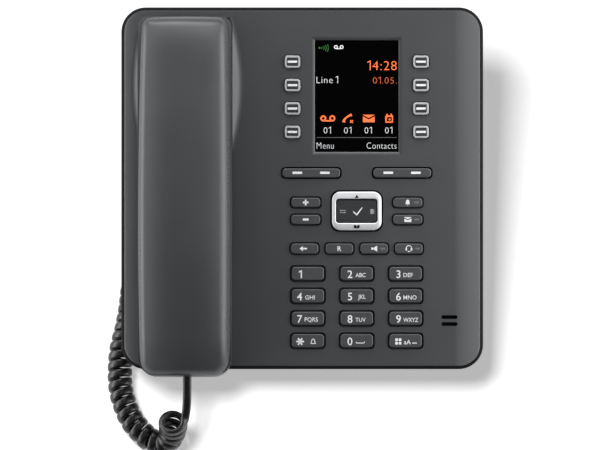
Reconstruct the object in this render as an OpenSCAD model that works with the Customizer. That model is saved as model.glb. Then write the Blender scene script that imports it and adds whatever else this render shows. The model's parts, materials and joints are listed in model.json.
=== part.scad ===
// Desk telephone: a square slab that leans back on a rear stand, with a cradled handset on the
// left, a colour display and its keys on the right, and a coiled handset cord.
// Face coordinates: u runs right, v runs up the face, w runs out of the face, w = 0 on the face.

/* [Body] */
// Width of the slab
body_w = 192; // [190:1:196]
// Length of the slab up the sloping face
body_l = 192; // [190:1:196]
// Radius of the slab's corners
corner_r = 13; // [10:1:16]
// Height of the slab's edge
slab_h = 13; // [12.5:0.5:14]
// Rounding of the slab's top edge
rim_r = 2.5; // [1.5:0.25:3]
// Thickness of the moulded walls
wall = 2.4; // [2:0.1:2.6]
// Lean of the face from the table
face_tilt = 14; // [13.5:0.5:14.5]
// Depth of the tub under the slab's lip
tub_h = 17; // [16:0.5:18]
// Distance of the tub's walls from the slab's edge
tub_inset = 15; // [14:0.5:15]

/* [Handset] */
// Width of the handset
hs_w = 49.3; // [48:0.1:50]
// Length of the handset
hs_l = 189.7; // [188:0.1:191]
// Height of the handset's back above the face, at the middle
hs_top = 22; // [20:0.5:23]
// Height of the neck's underside above the face
neck_clear = 8.5; // [7.5:0.5:9]
// Wall of the handset's shells
hs_wall = 2.2; // [2:0.1:2.4]

/* [Keys] */
// Width of a number key's cap
digit_w = 17.5; // [16:0.1:18]
// Length of a number key's cap
digit_l = 7.4; // [6.8:0.1:7.6]
// Height of the caps above the face
key_rise = 1.2; // [0.8:0.1:1.5]
// Gap around a number key's cap
digit_gap = 0.8; // [0.6:0.05:0.9]
// Gap around every other cap
key_gap = 0.6; // [0.5:0.05:0.7]

/* [Display] */
// Width of the window's bevelled opening
window_w = 48.2; // [47:0.1:49]
// Length of the window's bevelled opening
window_l = 63.1; // [62:0.1:64]
// Width of the bevel around the window
bevel_w = 1.9; // [1.5:0.1:2.1]

/* [Cord] */
// Diameter of the straight cord
cord_d = 4; // [3.8:0.1:4.2]
// Outer diameter of the coiled cord
coil_d = 13.2; // [12.8:0.1:13.4]

/* [Hidden] */
$fn = 48;
CURVE_FN = 720;   // long, shallow arcs
CORD_SIDES = 10;

// Place of the face frame in the standing object
face_y = 1.6;
face_z = 52;

// Levels under the face
key_foot = -4;              // underside of the key flanges
flange_t = 1.4;
flange_lap = 0.7;
mat_top = -5.5;
mat_t = 1.5;
board_top = -7.2;
board_t = 1.6;
tub_floor = -slab_h - tub_h;
tub_w = body_w - 2 * tub_inset;
tub_l = body_l - 2 * tub_inset;
tub_r = 8;
cut = 1;                    // how far a cutter runs past the surface it opens

// Panel layout
panel_u = 28.9;
digit_pitch = [25.9, 11.87];
digit_top_v = -45.2;
function_pitch = 18.4;
function_v = -32;
line_u = 34.05;
line_top_v = 67;
line_pitch = 12.4;
soft_at = [24.1, 8.1];
side_u = 27.05;
side_v = [-7.55, -16.6];
window_v = 48.85;
nav_v = -12.05;
nav_size = [26.3, 20.5];
nav_opening = [22.1, 12.8];
nav_r = 4.5;
digit_size = [digit_w, digit_l];
line_size = [8.2, 6.5];
soft_size = [31, 5.2];
side_size = [15.8, 5.4];
function_size = [15, 5.8];
soft_axis_w = -4;
tilt_axis_w = -4;

digit_names = ["key_1", "key_2", "key_3", "key_4", "key_5", "key_6", "key_7", "key_8", "key_9",
               "key_star", "key_0", "key_hash"];
function_names = ["back_key", "recall_key", "speaker_key", "headset_key"];
function digit_at(i) = [panel_u + (i % 3 - 1) * digit_pitch[0],
                        digit_top_v - floor(i / 3) * digit_pitch[1]];
function function_at(i) = [panel_u + (i - 1.5) * function_pitch, function_v];
function line_at(side, i) = [panel_u + side * line_u, line_top_v - i * line_pitch];
function side_at(side, i) = [panel_u + side * side_u, side_v[i]];
function soft_key_at(side) = [panel_u + side * soft_at[0], soft_at[1]];

// Handset and cradle
hs_u = -62.1;
hs_v = -4.15;
hs_gap = 0.5;               // under the handset when it lies in the cradle
hs_end_drop = 9;            // how much lower the back is at the two ends
hs_split = 9;               // depth of the back shell
hs_crown = 5;               // how much higher the back's middle line is than its long edges
hs_top_r = 5.3;
hs_bottom_r = 9;
back_r = (pow(hs_l / 2, 2) + pow(hs_end_drop, 2)) / (2 * hs_end_drop);
crown_r = (pow(hs_w / 2, 2) + pow(hs_crown, 2)) / (2 * hs_crown);
neck_v = -6;
neck_half = 38;
neck_r = (pow(neck_half, 2) + pow(neck_clear - hs_gap, 2)) / (2 * (neck_clear - hs_gap));
ear_v = 57;
ear_r = 18.5;
ear_depth = 7.5;
mouth_v = -76;
mouth_size = [36, 30];
mouth_depth = 6.5;
hook_v = -50;
hook_r = 4;
plug_size = [7.6, 6.4];
plug_u = hs_u + 0.8;
plug_w = 5;                 // height of the handset's cord socket
plug_l = 12;
hs_screw_u = hs_u + 14;
hs_screw_v = [35.3, -47.6];

// Shoulders: low rises that keep the handset's ear end from sliding sideways
shoulder_at = [-61, 54.5];
shoulder_half_w = 29.8;
shoulder_half_l = 36;
shoulder_outline_r = 120;
shoulder_slope = 30;        // lean of the flank
shoulder_r = 5;             // radius of the hollow at the flank's foot
shoulder_reach = 7;
shoulder_gap = 0.5;

// Underside
bay = [51, 18, 30, 32];     // centre u, centre v, width and length of the cable bay
bay_top = -13;
jack_u = [44, 58];
jack_w = -17.5;
jack_mouth = [7.9, 6.7];
network_u = [-22, -3];
power_u = 18;
keyhole_at = [50, -35];
keyhole_r = 4;
keyhole_slot = 8;
screw_at = [74, 45, 15];    // u either side of the middle, v of the front pair, v of the rear pair
foot_r = 6.5;
front_foot = [66, -63.5];
rear_foot = [58, 72];
foot_t = 2;
stand_w = 140;
stand_y = [50, 84];
stand_wall = 2.8;
mic_at = [78, -70.15];

// Cord routes in the standing object: x, y before the face is placed, and z
lead_route = [
    [-61.3, -97.6, 32.8], [-61.4, -103, 31.4], [-61.9, -109, 29.6], [-62.7, -114.5, 27.6],
    [-63.7, -119.8, 25],
];
coil_route = [
    [-68.5, -120, 24], [-68.6, -122.2, 17.5], [-70, -126.2, 11.4], [-73.6, -129.4, 7.8],
    [-77.6, -129, 7], [-81.6, -125.8, 7], [-85.6, -121.4, 7], [-89.6, -116.5, 7], [-93.5, -109.5, 7],
    [-96.8, -100.5, 7], [-98.4, -89.5, 7], [-98, -77.5, 7], [-95.5, -66.5, 7], [-92.5, -55, 7],
    [-91, -42, 7], [-87, -29, 7], [-78, -18, 7], [-65, -11, 7], [-49, -8, 7], [-31, -8, 7],
    [-13, -8, 7], [5, -8, 7], [23, -8, 7],
];
base_route = [
    [23, -8, 7], [32, -5.5, 7.3], [38, 1, 9], [41.5, 8, 13.5], [43, 13, 20],
    [43.6, 16, 27], [44, 19, 34], [44, 23.6, 39.2], [44, 30.3, 41.5],
];

// ---------------------------------------------------------------- shared shapes

module on_face() {
    translate([0, face_y, face_z]) rotate([face_tilt, 0, 0]) children();
}

module rounded(size, r) {
    square([size[0] - 2 * r, size[1]], center = true);
    square([size[0], size[1] - 2 * r], center = true);
    for (x = [-1, 1], y = [-1, 1])
        translate([x * (size[0] / 2 - r), y * (size[1] / 2 - r)]) circle(r);
}

// A rounded plate between two levels
module plate(size, r, low, high) {
    translate([0, 0, low]) linear_extrude(high - low) rounded(size, r);
}

module box(low, high) {
    translate(low) cube(high - low);
}

// Half of the slab's cross-section: square below, rounded by rim_r above
module edge_profile(half) {
    translate([0, -slab_h]) square([half, slab_h - rim_r]);
    translate([0, -slab_h]) square([half - rim_r, slab_h]);
    translate([half - rim_r, -rim_r]) circle(rim_r);
}

// The slab with a rounded top edge: four quarter pucks and the bars between them
module soft_slab() {
    x = body_w / 2 - corner_r;
    y = body_l / 2 - corner_r;
    for (q = [0:3]) {
        turn = q * 90;
        translate([x * (q == 0 || q == 3 ? 1 : -1), y * (q < 2 ? 1 : -1), 0])
            rotate([0, 0, turn]) rotate_extrude(angle = 90) edge_profile(corner_r);
    }
    for (s = [-1, 1]) {
        rotate([90, 0, 0]) translate([0, 0, -y]) linear_extrude(2 * y)
            mirror([s < 0 ? 1 : 0, 0]) edge_profile(body_w / 2);
        rotate([0, 0, 90]) rotate([90, 0, 0]) translate([0, 0, -x]) linear_extrude(2 * x)
            mirror([s < 0 ? 1 : 0, 0]) edge_profile(body_l / 2);
    }
}

// ---------------------------------------------------------------- keys

module key_cap(at, size, r = 2) {
    flange = size + [1, 1] * 2 * (key_gap + flange_lap);
    color("#47484a") on_face() translate([at[0], at[1], 0]) {
        plate(size, r, key_foot, key_rise);
        plate(flange, r, key_foot, key_foot + flange_t);
    }
}

module digit_key(i) {
    flange = digit_size + [1, 1] * 2 * (digit_gap + flange_lap);
    color("#47484a") on_face() translate([digit_at(i)[0], digit_at(i)[1], 0]) {
        plate(digit_size, 2, key_foot, key_rise);
        plate(flange, 2, key_foot, key_foot + flange_t);
    }
}

// A rocker on a rib that runs across it, with two short retaining tabs
module softkey(side) {
    tab_w = 5;
    rib_r = 1.2;
    at = soft_key_at(side);
    color("#47484a") on_face() translate([at[0], at[1], 0]) {
        plate(soft_size, 1.9, key_foot + 0.4, key_rise - 0.2);
        box([-tab_w / 2, -soft_size[1] / 2 - key_gap - flange_lap, key_foot],
            [tab_w / 2, soft_size[1] / 2 + key_gap + flange_lap, key_foot + 1]);
        translate([0, 0, soft_axis_w]) rotate([90, 0, 0])
            cylinder(r = rib_r, h = soft_size[1], center = true);
    }
}

module nav_tilt_plate() {
    size = [24, 18];
    color("#3a3b3d") on_face() translate([panel_u, nav_v, 0]) difference() {
        plate(size, 3, tilt_axis_w - 0.6, tilt_axis_w + 0.6);
        plate([15.2, 9.2], 2, tilt_axis_w - cut, tilt_axis_w + cut);
    }
}

module nav_ring() {
    color("#d9dadc") on_face() translate([panel_u, nav_v, 0]) difference() {
        plate(nav_size, nav_r, -2.7, 2.2);
        plate(nav_opening, 2, -2.7 - cut, 2.2 + cut);
    }
}

module nav_ok_key() {
    cap = nav_opening - [1, 1] * 1.2;
    color("#2f3032") on_face() translate([panel_u, nav_v, 0]) {
        plate(cap, 1.4, -1.8, 1.4);
        plate([13, 7], 1.5, tilt_axis_w, -1.8);
    }
}

// ---------------------------------------------------------------- body mouldings

module key_hole(at, size, gap, r = 2) {
    translate([at[0], at[1], 0]) plate(size + [1, 1] * 2 * gap, r + gap / 2, -wall - 2 * cut, cut);
}

module key_holes() {
    for (i = [0:11]) key_hole(digit_at(i), digit_size, digit_gap);
    for (i = [0:3]) key_hole(function_at(i), function_size, key_gap);
    for (side = [-1, 1]) {
        for (i = [0:3]) key_hole(line_at(side, i), line_size, key_gap);
        for (i = [0:1]) key_hole(side_at(side, i), side_size, key_gap);
        key_hole(soft_key_at(side), soft_size, key_gap);
    }
    key_hole([panel_u, nav_v], nav_size, digit_gap, nav_r);
}

// Four sloping bevels around the display, and the recess that holds the window from behind
module window_opening() {
    depth = 1.3;
    module wedge(half, length) {
        translate([0, length / 2, 0]) rotate([90, 0, 0]) linear_extrude(length)
            polygon([[-half + bevel_w, -depth - cut], [half - bevel_w, -depth - cut],
                     [half - bevel_w, -depth], [half, 0], [half, cut], [-half, cut], [-half, 0],
                     [-half + bevel_w, -depth]]);
    }
    translate([panel_u, window_v, 0]) {
        intersection() {
            wedge(window_w / 2, window_l + cut);
            rotate([0, 0, 90]) wedge(window_l / 2, window_w + cut);
        }
        plate([window_w - 1.2, window_l - 1.2], 0.8, -wall - cut, -depth);
    }
}

// A disc with a sloping flank on a hollow foot, its edge on one outline of the shoulders
module shoulder_dish(side) {
    rise = shoulder_r * (1 - cos(shoulder_slope))
        + (shoulder_reach - shoulder_r * sin(shoulder_slope)) * tan(shoulder_slope);
    foot = [for (a = [0:5:shoulder_slope])
        [shoulder_outline_r - shoulder_r * sin(a), shoulder_r * (1 - cos(a))]];
    translate([shoulder_at[0] + side * (shoulder_half_w - shoulder_outline_r), shoulder_at[1], 0])
        rotate_extrude($fn = 144) polygon(concat(
            [[0, -wall / 2], [shoulder_outline_r, -wall / 2]], foot,
            [[shoulder_outline_r - shoulder_reach, rise], [0, rise]]));
}

// Two crescents beside the handset: a lens of two dishes, less the handset's own outline
module shoulders() {
    difference() {
        intersection() {
            shoulder_dish(-1);
            shoulder_dish(1);
            translate([shoulder_at[0], shoulder_at[1], 0])
                cube([3 * shoulder_half_w, 2 * shoulder_half_l, 20], center = true);
        }
        handset_block(-shoulder_gap, -wall, hs_top);
    }
}

module cradle_cuts() {
    translate([hs_u, ear_v, -ear_depth - 1]) cylinder(r = ear_r + 2, h = ear_depth + 2);
    translate([hs_u, mouth_v, 0]) plate(mouth_size + [5, 4], 4, -mouth_depth - 1.2, cut);
    translate([hs_u, hook_v, -wall - cut]) cylinder(r = hook_r + 0.5, h = wall + 2 * cut);
    for (i = [-3:3])
        translate([hs_u, neck_v + i * 3.6, 0])
            plate([26 - abs(i) * 2.4, 1.6], 0.79, -wall - cut, cut);
}

module cradle_walls() {
    floor_t = 2;
    translate([hs_u, ear_v, -ear_depth - 1 - floor_t])
        cylinder(r = ear_r + 2 + floor_t, h = ear_depth + floor_t);
    translate([hs_u, mouth_v, 0])
        plate(mouth_size + [9, 8], 6, -mouth_depth - 1.2 - floor_t, -wall / 2);
}

module screw_bosses(r, low, high) {
    for (x = [-1, 1], y = [-screw_at[1], screw_at[2]])
        translate([x * screw_at[0], y, low]) cylinder(r = r, h = high - low);
}

module top_shell() {
    color("#47484a") on_face() difference() {
        union() {
            difference() {
                soft_slab();
                plate([body_w - 2 * wall, body_l - 2 * wall], corner_r - wall, -slab_h - cut, -wall);
            }
            cradle_walls();
            shoulders();
            screw_bosses(3.6, tub_floor + wall + 0.2, -wall / 2);
        }
        cradle_cuts();
        key_holes();
        window_opening();
        screw_bosses(1.2, tub_floor, -slab_h);
        for (y = [-1, 1])
            translate([mic_at[0], mic_at[1] + y * 1.85, 0]) plate([8.6, 2], 0.99, -wall - cut, cut);
    }
}

module keyhole() {
    cylinder(r = keyhole_r, h = wall + 2 * cut);
    translate([-keyhole_r * 0.55, 0, 0]) cube([keyhole_r * 1.1, keyhole_slot, wall + 2 * cut]);
    translate([0, keyhole_slot, 0]) cylinder(r = keyhole_r * 0.55, h = wall + 2 * cut);
}

module bottom_shell() {
    lip = [body_w, body_l] - [1, 1] * 2 * (wall + 0.1);
    inside = [tub_w, tub_l] - [1, 1] * 2 * wall;
    bay_size = [bay[2], bay[3]];
    color("#3a3b3d") on_face() difference() {
        union() {
            difference() {
                union() {
                    plate(lip, corner_r - wall, -slab_h, -slab_h + 2);
                    plate([tub_w, tub_l], tub_r, tub_floor, -slab_h + 2);
                }
                plate(inside, tub_r - wall, tub_floor + wall, -slab_h + 2 + cut);
            }
            translate([bay[0], bay[1], 0])
                plate(bay_size + [1, 1] * 2 * wall, 3, tub_floor + wall / 2, bay_top + 2);
        }
        translate([bay[0], bay[1], 0]) plate(bay_size, 1.5, tub_floor - cut, bay_top);
        for (u = jack_u)
            translate([u - jack_mouth[0] / 2, bay[1] + bay[3] / 2 - cut, jack_w - jack_mouth[1] / 2])
                cube([jack_mouth[0], wall + 2 * cut, jack_mouth[1]]);
        for (u = network_u)
            box([u - 5.9, tub_l / 2 - wall - cut, -21.6], [u + 5.9, tub_l / 2 + cut, -13.4]);
        translate([power_u, tub_l / 2 - wall - cut, -17.5]) rotate([-90, 0, 0])
            cylinder(r = 4.2, h = wall + 2 * cut);
        for (s = [-1, 1])
            translate([s * keyhole_at[0], keyhole_at[1], tub_floor - cut]) keyhole();
        screw_bosses(1.8, tub_floor - cut, tub_floor + wall + cut);
        screw_bosses(3.3, tub_floor - cut, tub_floor + 1.2);
    }
}

module below_tub(drop) {
    intersection() {
        children();
        on_face() box([-body_w, -body_l, tub_floor - 100], [body_w, body_l, tub_floor - drop]);
    }
}

// A downward-open wedge with two corner posts for the rear feet
module desk_stand() {
    half = stand_w / 2;
    color("#3a3b3d") translate([0, face_y, 0]) {
        difference() {
            translate([0, -face_y, 0]) below_tub(0) translate([0, face_y, 0])
                box([-half, stand_y[0], foot_t], [half, stand_y[1], 60]);
            translate([0, -face_y, 0]) below_tub(stand_wall) translate([0, face_y, 0])
                box([-half + stand_wall, stand_y[0] + stand_wall, -cut],
                    [half - stand_wall, stand_y[1] - stand_wall, 60]);
        }
        translate([0, -face_y, 0]) below_tub(stand_wall / 2) translate([0, face_y, 0])
            for (x = [-1, 1]) translate([x * rear_foot[0], rear_foot[1], foot_t])
                cylinder(r = foot_r + 1, h = 50);
    }
}

module rubber_feet() {
    color("#1d1d1e") translate([0, face_y, 0]) for (x = [-1, 1]) {
        translate([0, -face_y, 0]) below_tub(0) translate([0, face_y, 0])
            translate([x * front_foot[0], front_foot[1], 0]) cylinder(r = foot_r, h = 20);
        translate([x * rear_foot[0], rear_foot[1], 0]) cylinder(r = foot_r, h = foot_t);
    }
}

// ---------------------------------------------------------------- inside the body

module lcd_window() {
    color("#050505") on_face() translate([panel_u, window_v, 0])
        plate([window_w - 1.4, window_l - 1.4], 0.7, -wall, -1.35);
}

module lcd_module() {
    color("#8e9092") on_face() translate([panel_u, window_v, 0])
        plate([window_w + 1.8, window_l + 2.9], 1, -6.8, -wall - 0.1);
}

module keypad_mat() {
    color("#6d6f71") on_face() difference() {
        translate([panel_u, -32.5, 0]) plate([74, 111], 2, mat_top - mat_t, mat_top);
        translate([panel_u, window_v, 0])
            plate([window_w + 2.4, window_l + 3.4], 1, mat_top - mat_t - cut, mat_top + cut);
    }
    color("#6d6f71") on_face() for (s = [-1, 1])
        translate([panel_u + s * line_u, line_top_v - 1.5 * line_pitch, 0])
            plate([11, 3 * line_pitch + 10], 2, mat_top - mat_t, mat_top);
}

module main_board() {
    color("#2d5a3a") on_face() translate([22, 0, 0])
        plate([96, 178], 2, board_top - board_t, board_top);
}

module handsfree_speaker() {
    color("#2a2a2b") on_face() translate([hs_u, neck_v, 0]) {
        translate([0, 0, -8]) cylinder(r = 15.5, h = 8 - wall);
        translate([0, 0, -12]) cylinder(r1 = 9, r2 = 14, h = 4);
        translate([0, 0, -18]) cylinder(r = 9, h = 6);
    }
}

module base_microphone() {
    color("#2a2a2b") on_face() translate([mic_at[0], mic_at[1], -7.4])
        cylinder(r = 4.8, h = 7.4 - wall);
}

module network_jacks() {
    color("#b9babd") on_face() for (u = network_u) difference() {
        box([u - 7.9, tub_l / 2 - wall - 16, -22.5], [u + 7.9, tub_l / 2 - wall, board_top - board_t]);
        box([u - 5.9, tub_l / 2 - wall - 13, -21.6], [u + 5.9, tub_l / 2 + cut, -13.4]);
    }
}

module power_jack() {
    color("#1d1d1e") on_face() difference() {
        box([power_u - 4.8, tub_l / 2 - wall - 13, -22], [power_u + 4.8, tub_l / 2 - wall, board_top - board_t]);
        translate([power_u, tub_l / 2 - wall - 10, -17.5]) rotate([-90, 0, 0]) cylinder(r = 3.15, h = 12);
    }
    color("silver") on_face() translate([power_u, tub_l / 2 - wall - 10.5, -17.5]) rotate([-90, 0, 0])
        cylinder(r = 1, h = 9.5);
}

module cord_jacks() {
    near = bay[1] + bay[3] / 2 + wall;
    color("#1d1d1e") on_face() for (u = jack_u) difference() {
        box([u - 6, near, -22], [u + 6, near + 14, board_top - board_t]);
        box([u - jack_mouth[0] / 2, near - cut, jack_w - jack_mouth[1] / 2],
            [u + jack_mouth[0] / 2, near + 10.5, jack_w + jack_mouth[1] / 2]);
    }
}

module shell_screws() {
    color("silver") on_face() {
        screw_bosses(1.15, tub_floor + 1.1, tub_floor + 14);
        screw_bosses(3, tub_floor, tub_floor + 1.2);
    }
}

module hook_plunger() {
    color("#3a3b3d") on_face() translate([hs_u, hook_v, 0]) {
        translate([0, 0, -9]) cylinder(r = hook_r, h = 9 + hs_gap - 0.3);
        translate([0, 0, -9]) cylinder(r = hook_r + 2, h = 1.5);
    }
}

// ---------------------------------------------------------------- handset

// Outline of the handset seen from above, drawn in by d
module handset_outline(d) {
    part = [hs_w - 2 * d, hs_l * 0.7 - d];
    shift = (hs_l - 2 * d - part[1]) / 2;
    translate([0, shift]) rounded(part, hs_top_r - d);
    translate([0, -shift]) rounded(part, hs_bottom_r - d);
}

module handset_block(d, low, high) {
    translate([hs_u, hs_v, low]) linear_extrude(high - low) handset_outline(d);
}

// A long bar along u, whose round top follows the handset's arched back, lowered by drop
module back_arch(drop) {
    translate([hs_u, hs_v, hs_top - back_r]) rotate([0, 90, 0])
        cylinder(r = back_r - drop, h = 80, center = true, $fn = CURVE_FN);
}

// The handset's back, arched along v and crowned across, lowered by drop: a wheel with a round tread
module crowned_back(drop) {
    hub = back_r - crown_r;
    translate([hs_u, hs_v, hs_top - back_r]) rotate([0, 90, 0]) rotate_extrude($fn = CURVE_FN)
        intersection() {
            union() {
                translate([0, -hs_w]) square([hub, 2 * hs_w]);
                translate([hub, 0]) circle(crown_r - drop, $fn = 180);
            }
            translate([0, -hs_w * 0.6]) square([back_r, hs_w * 1.2]);
        }
}

module neck_arch(grow) {
    translate([hs_u, neck_v, neck_clear - neck_r]) rotate([0, 90, 0])
        cylinder(r = neck_r + grow, h = 80, center = true, $fn = CURVE_FN);
}

module handset_socket_hole() {
    translate([plug_u, hs_v - hs_l / 2 - cut, plug_w - plug_size[1] / 2 - 0.3])
        translate([-plug_size[0] / 2 - 0.3, 0, 0])
        cube([plug_size[0] + 0.6, plug_l + 3, plug_size[1] + 0.6]);
}

module handset_back_shell() {
    color("#47484a") on_face() difference() {
        intersection() {
            handset_block(0, 0, hs_top + 1);
            crowned_back(0);
        }
        intersection() {
            handset_block(hs_wall, -2 * cut, hs_top + 1);
            crowned_back(hs_wall);
        }
        back_arch(hs_split);
        handset_socket_hole();
    }
}

module handset_cup_bodies(d) {
    translate([hs_u, ear_v, -ear_depth + d]) cylinder(r = ear_r - d, h = ear_depth + 2);
    translate([hs_u, mouth_v, 0]) plate(mouth_size - [2, 2] * d, 4 - d, -mouth_depth + d, 2);
}

module handset_front_shell() {
    color("#3f4042") on_face() difference() {
        union() {
            intersection() {
                difference() {
                    handset_block(0, hs_gap, hs_top);
                    neck_arch(0);
                }
                back_arch(hs_split);
            }
            handset_cup_bodies(0);
        }
        difference() {
            handset_block(hs_wall, hs_gap + hs_wall, hs_top);
            neck_arch(hs_wall);
        }
        handset_cup_bodies(hs_wall);
        for (a = [0:60:300])
            translate([hs_u + 6 * cos(a), ear_v + 6 * sin(a), -ear_depth - cut])
                cylinder(r = 1.2, h = hs_wall + 2 * cut);
        translate([hs_u, mouth_v, 0]) plate([8, 1.8], 0.89, -mouth_depth - cut, -mouth_depth + hs_wall + cut);
        handset_socket_hole();
        for (v = hs_screw_v) translate([hs_screw_u, v, hs_gap - cut]) cylinder(r = 1.6, h = 8);
    }
}

module handset_receiver() {
    color("#2a2a2b") on_face() translate([hs_u, ear_v, -ear_depth + hs_wall]) cylinder(r = 15, h = 7);
}

module handset_microphone() {
    color("#2a2a2b") on_face() translate([hs_u, mouth_v, -mouth_depth + hs_wall]) cylinder(r = 4.8, h = 5);
}

module handset_weight() {
    color("silver") on_face() translate([hs_u, neck_v, 0])
        plate([30, 40], 2, neck_clear + hs_wall, neck_clear + hs_wall + 5);
}

module handset_screws() {
    color("silver") on_face() for (v = hs_screw_v) translate([hs_screw_u, v, 0]) {
        translate([0, 0, hs_gap]) cylinder(r = 1.5, h = 9);
        translate([0, 0, hs_gap + hs_wall + 0.02]) cylinder(r = 2.4, h = 1.4);
    }
}

// Modular plug: a clear block and a short boot; the mouth is at the origin, and +y goes in
module modular_plug(inside, boot) {
    color("#d8dade") translate([-plug_size[0] / 2, 0, -plug_size[1] / 2])
        cube([plug_size[0], inside, plug_size[1]]);
    color("#1d1d1e") translate([0, 0.01, 0]) rotate([90, 0, 0]) cylinder(r = cord_d / 2 + 0.6, h = boot);
}

module cord_handset_plug() {
    on_face() translate([plug_u, hs_v - hs_l / 2 + 2, plug_w]) modular_plug(plug_l, 1.9);
}

module cord_base_plug() {
    on_face() translate([jack_u[0], bay[1] + bay[3] / 2 - 3, jack_w]) modular_plug(plug_l + 3, 4);
}

// ---------------------------------------------------------------- cord

// Smooth curve through the route's points, with n steps between neighbours
function on_route(route, n) = let (
    last = len(route) - 1,
    q = concat([2 * route[0] - route[1]], route, [2 * route[last] - route[last - 1]])
) [for (i = [0:last - 1], k = [0:n - 1]) let (
    t = k / n, a = q[i], b = q[i + 1], c = q[i + 2], d = q[i + 3]
) (2 * b + (c - a) * t + (2 * a - 5 * b + 4 * c - d) * t * t
   + (3 * b - a - 3 * c + d) * t * t * t) / 2, route[last]];
function unit(v) = v / norm(v);

// Ring frames carried along the curve without twist
function carried(line, i, side) = let (
    ahead = unit(line[min(i + 1, len(line) - 1)] - line[max(i - 1, 0)]),
    across = unit(side - ahead * (side * ahead)),
    up = cross(ahead, across)
) i == len(line) - 1 ? [[across, up]] : concat([[across, up]], carried(line, i + 1, across));

module cord_tube(route, d, sides, n) {
    line = on_route(route, n);
    frames = carried(line, 0, [0.3, 0.1, 1]);
    rings = len(line);
    points = [for (i = [0:rings - 1], k = [0:sides - 1])
        line[i] + d / 2 * (frames[i][0] * cos(k * 360 / sides) + frames[i][1] * sin(k * 360 / sides))];
    walls = [for (i = [0:rings - 2], k = [0:sides - 1]) let (m = (k + 1) % sides)
        [i * sides + k, (i + 1) * sides + k, (i + 1) * sides + m, i * sides + m]];
    caps = [[for (k = [0:sides - 1]) k], [for (k = [sides - 1:-1:0]) (rings - 1) * sides + k]];
    color("#1d1d1e") translate([0, face_y, 0]) polyhedron(points, concat(walls, caps));
}

module cord_lead() { cord_tube(lead_route, cord_d, 8, 1); }
module cord_coil() { cord_tube(coil_route, coil_d, CORD_SIDES, 2); }
module cord_base_lead() { cord_tube(base_route, cord_d, 8, 1); }

// ---------------------------------------------------------------- nodes

for (i = [0:11])
    digit_key(i);
for (i = [0:3]) {
    key_cap(function_at(i), function_size);
    key_cap(line_at(-1, i), line_size, 1.6);
    key_cap(line_at(1, i), line_size, 1.6);
}
key_cap(side_at(-1, 0), side_size);  // volume_up_key
key_cap(side_at(-1, 1), side_size);  // volume_down_key
key_cap(side_at(1, 0), side_size);  // ringer_key
key_cap(side_at(1, 1), side_size);  // message_key
softkey(-1);  // softkey_left
softkey(1);  // softkey_right
nav_tilt_plate();
nav_ring();
nav_ok_key();
top_shell();
bottom_shell();
desk_stand();
rubber_feet();
lcd_window();
lcd_module();
keypad_mat();
main_board();
handsfree_speaker();
base_microphone();
network_jacks();
power_jack();
cord_jacks();
shell_screws();
hook_plunger();
handset_back_shell();
handset_front_shell();
handset_receiver();
handset_microphone();
handset_weight();
handset_screws();
cord_handset_plug();
cord_lead();
cord_coil();
cord_base_lead();
cord_base_plug();
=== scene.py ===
"""Desk telephone: the visual model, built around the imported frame.

The phone is a square anthracite slab that leans back on a stand. A handset lies in a cradle on
its left, and a colour display, line keys, a four-way key and a number pad fill the right. Every
place on the face is given in face millimetres: u to the right, v up the face, w out of it.
"""

import json
import logging
import math
import re
from dataclasses import dataclass, field
from enum import Enum

import bmesh
import bpy
import numpy as np
from mathutils import Matrix

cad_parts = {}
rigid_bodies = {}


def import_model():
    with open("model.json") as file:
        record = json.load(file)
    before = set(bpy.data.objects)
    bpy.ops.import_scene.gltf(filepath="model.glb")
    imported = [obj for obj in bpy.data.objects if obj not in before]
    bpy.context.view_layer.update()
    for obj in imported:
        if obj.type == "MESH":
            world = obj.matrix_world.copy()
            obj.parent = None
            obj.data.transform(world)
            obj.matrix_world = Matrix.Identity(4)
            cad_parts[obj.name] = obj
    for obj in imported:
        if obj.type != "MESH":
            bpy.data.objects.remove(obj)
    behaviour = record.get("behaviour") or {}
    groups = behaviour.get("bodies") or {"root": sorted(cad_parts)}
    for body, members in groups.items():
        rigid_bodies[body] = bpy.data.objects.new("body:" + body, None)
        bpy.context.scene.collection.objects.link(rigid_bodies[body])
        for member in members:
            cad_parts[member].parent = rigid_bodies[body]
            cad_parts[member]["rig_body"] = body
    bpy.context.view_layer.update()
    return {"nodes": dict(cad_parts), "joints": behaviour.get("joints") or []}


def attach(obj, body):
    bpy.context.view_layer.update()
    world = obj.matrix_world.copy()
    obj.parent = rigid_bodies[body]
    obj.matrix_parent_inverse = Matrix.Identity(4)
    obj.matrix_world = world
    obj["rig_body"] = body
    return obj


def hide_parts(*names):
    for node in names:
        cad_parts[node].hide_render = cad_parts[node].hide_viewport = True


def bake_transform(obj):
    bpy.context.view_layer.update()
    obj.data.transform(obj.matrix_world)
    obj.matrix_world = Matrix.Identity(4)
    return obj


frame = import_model()

Array = np.ndarray
MM = 0.001
TAU = 2 * math.pi
LOG = logging.getLogger("desk_telephone")


# ---------------------------------------------------------------- the face


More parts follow.
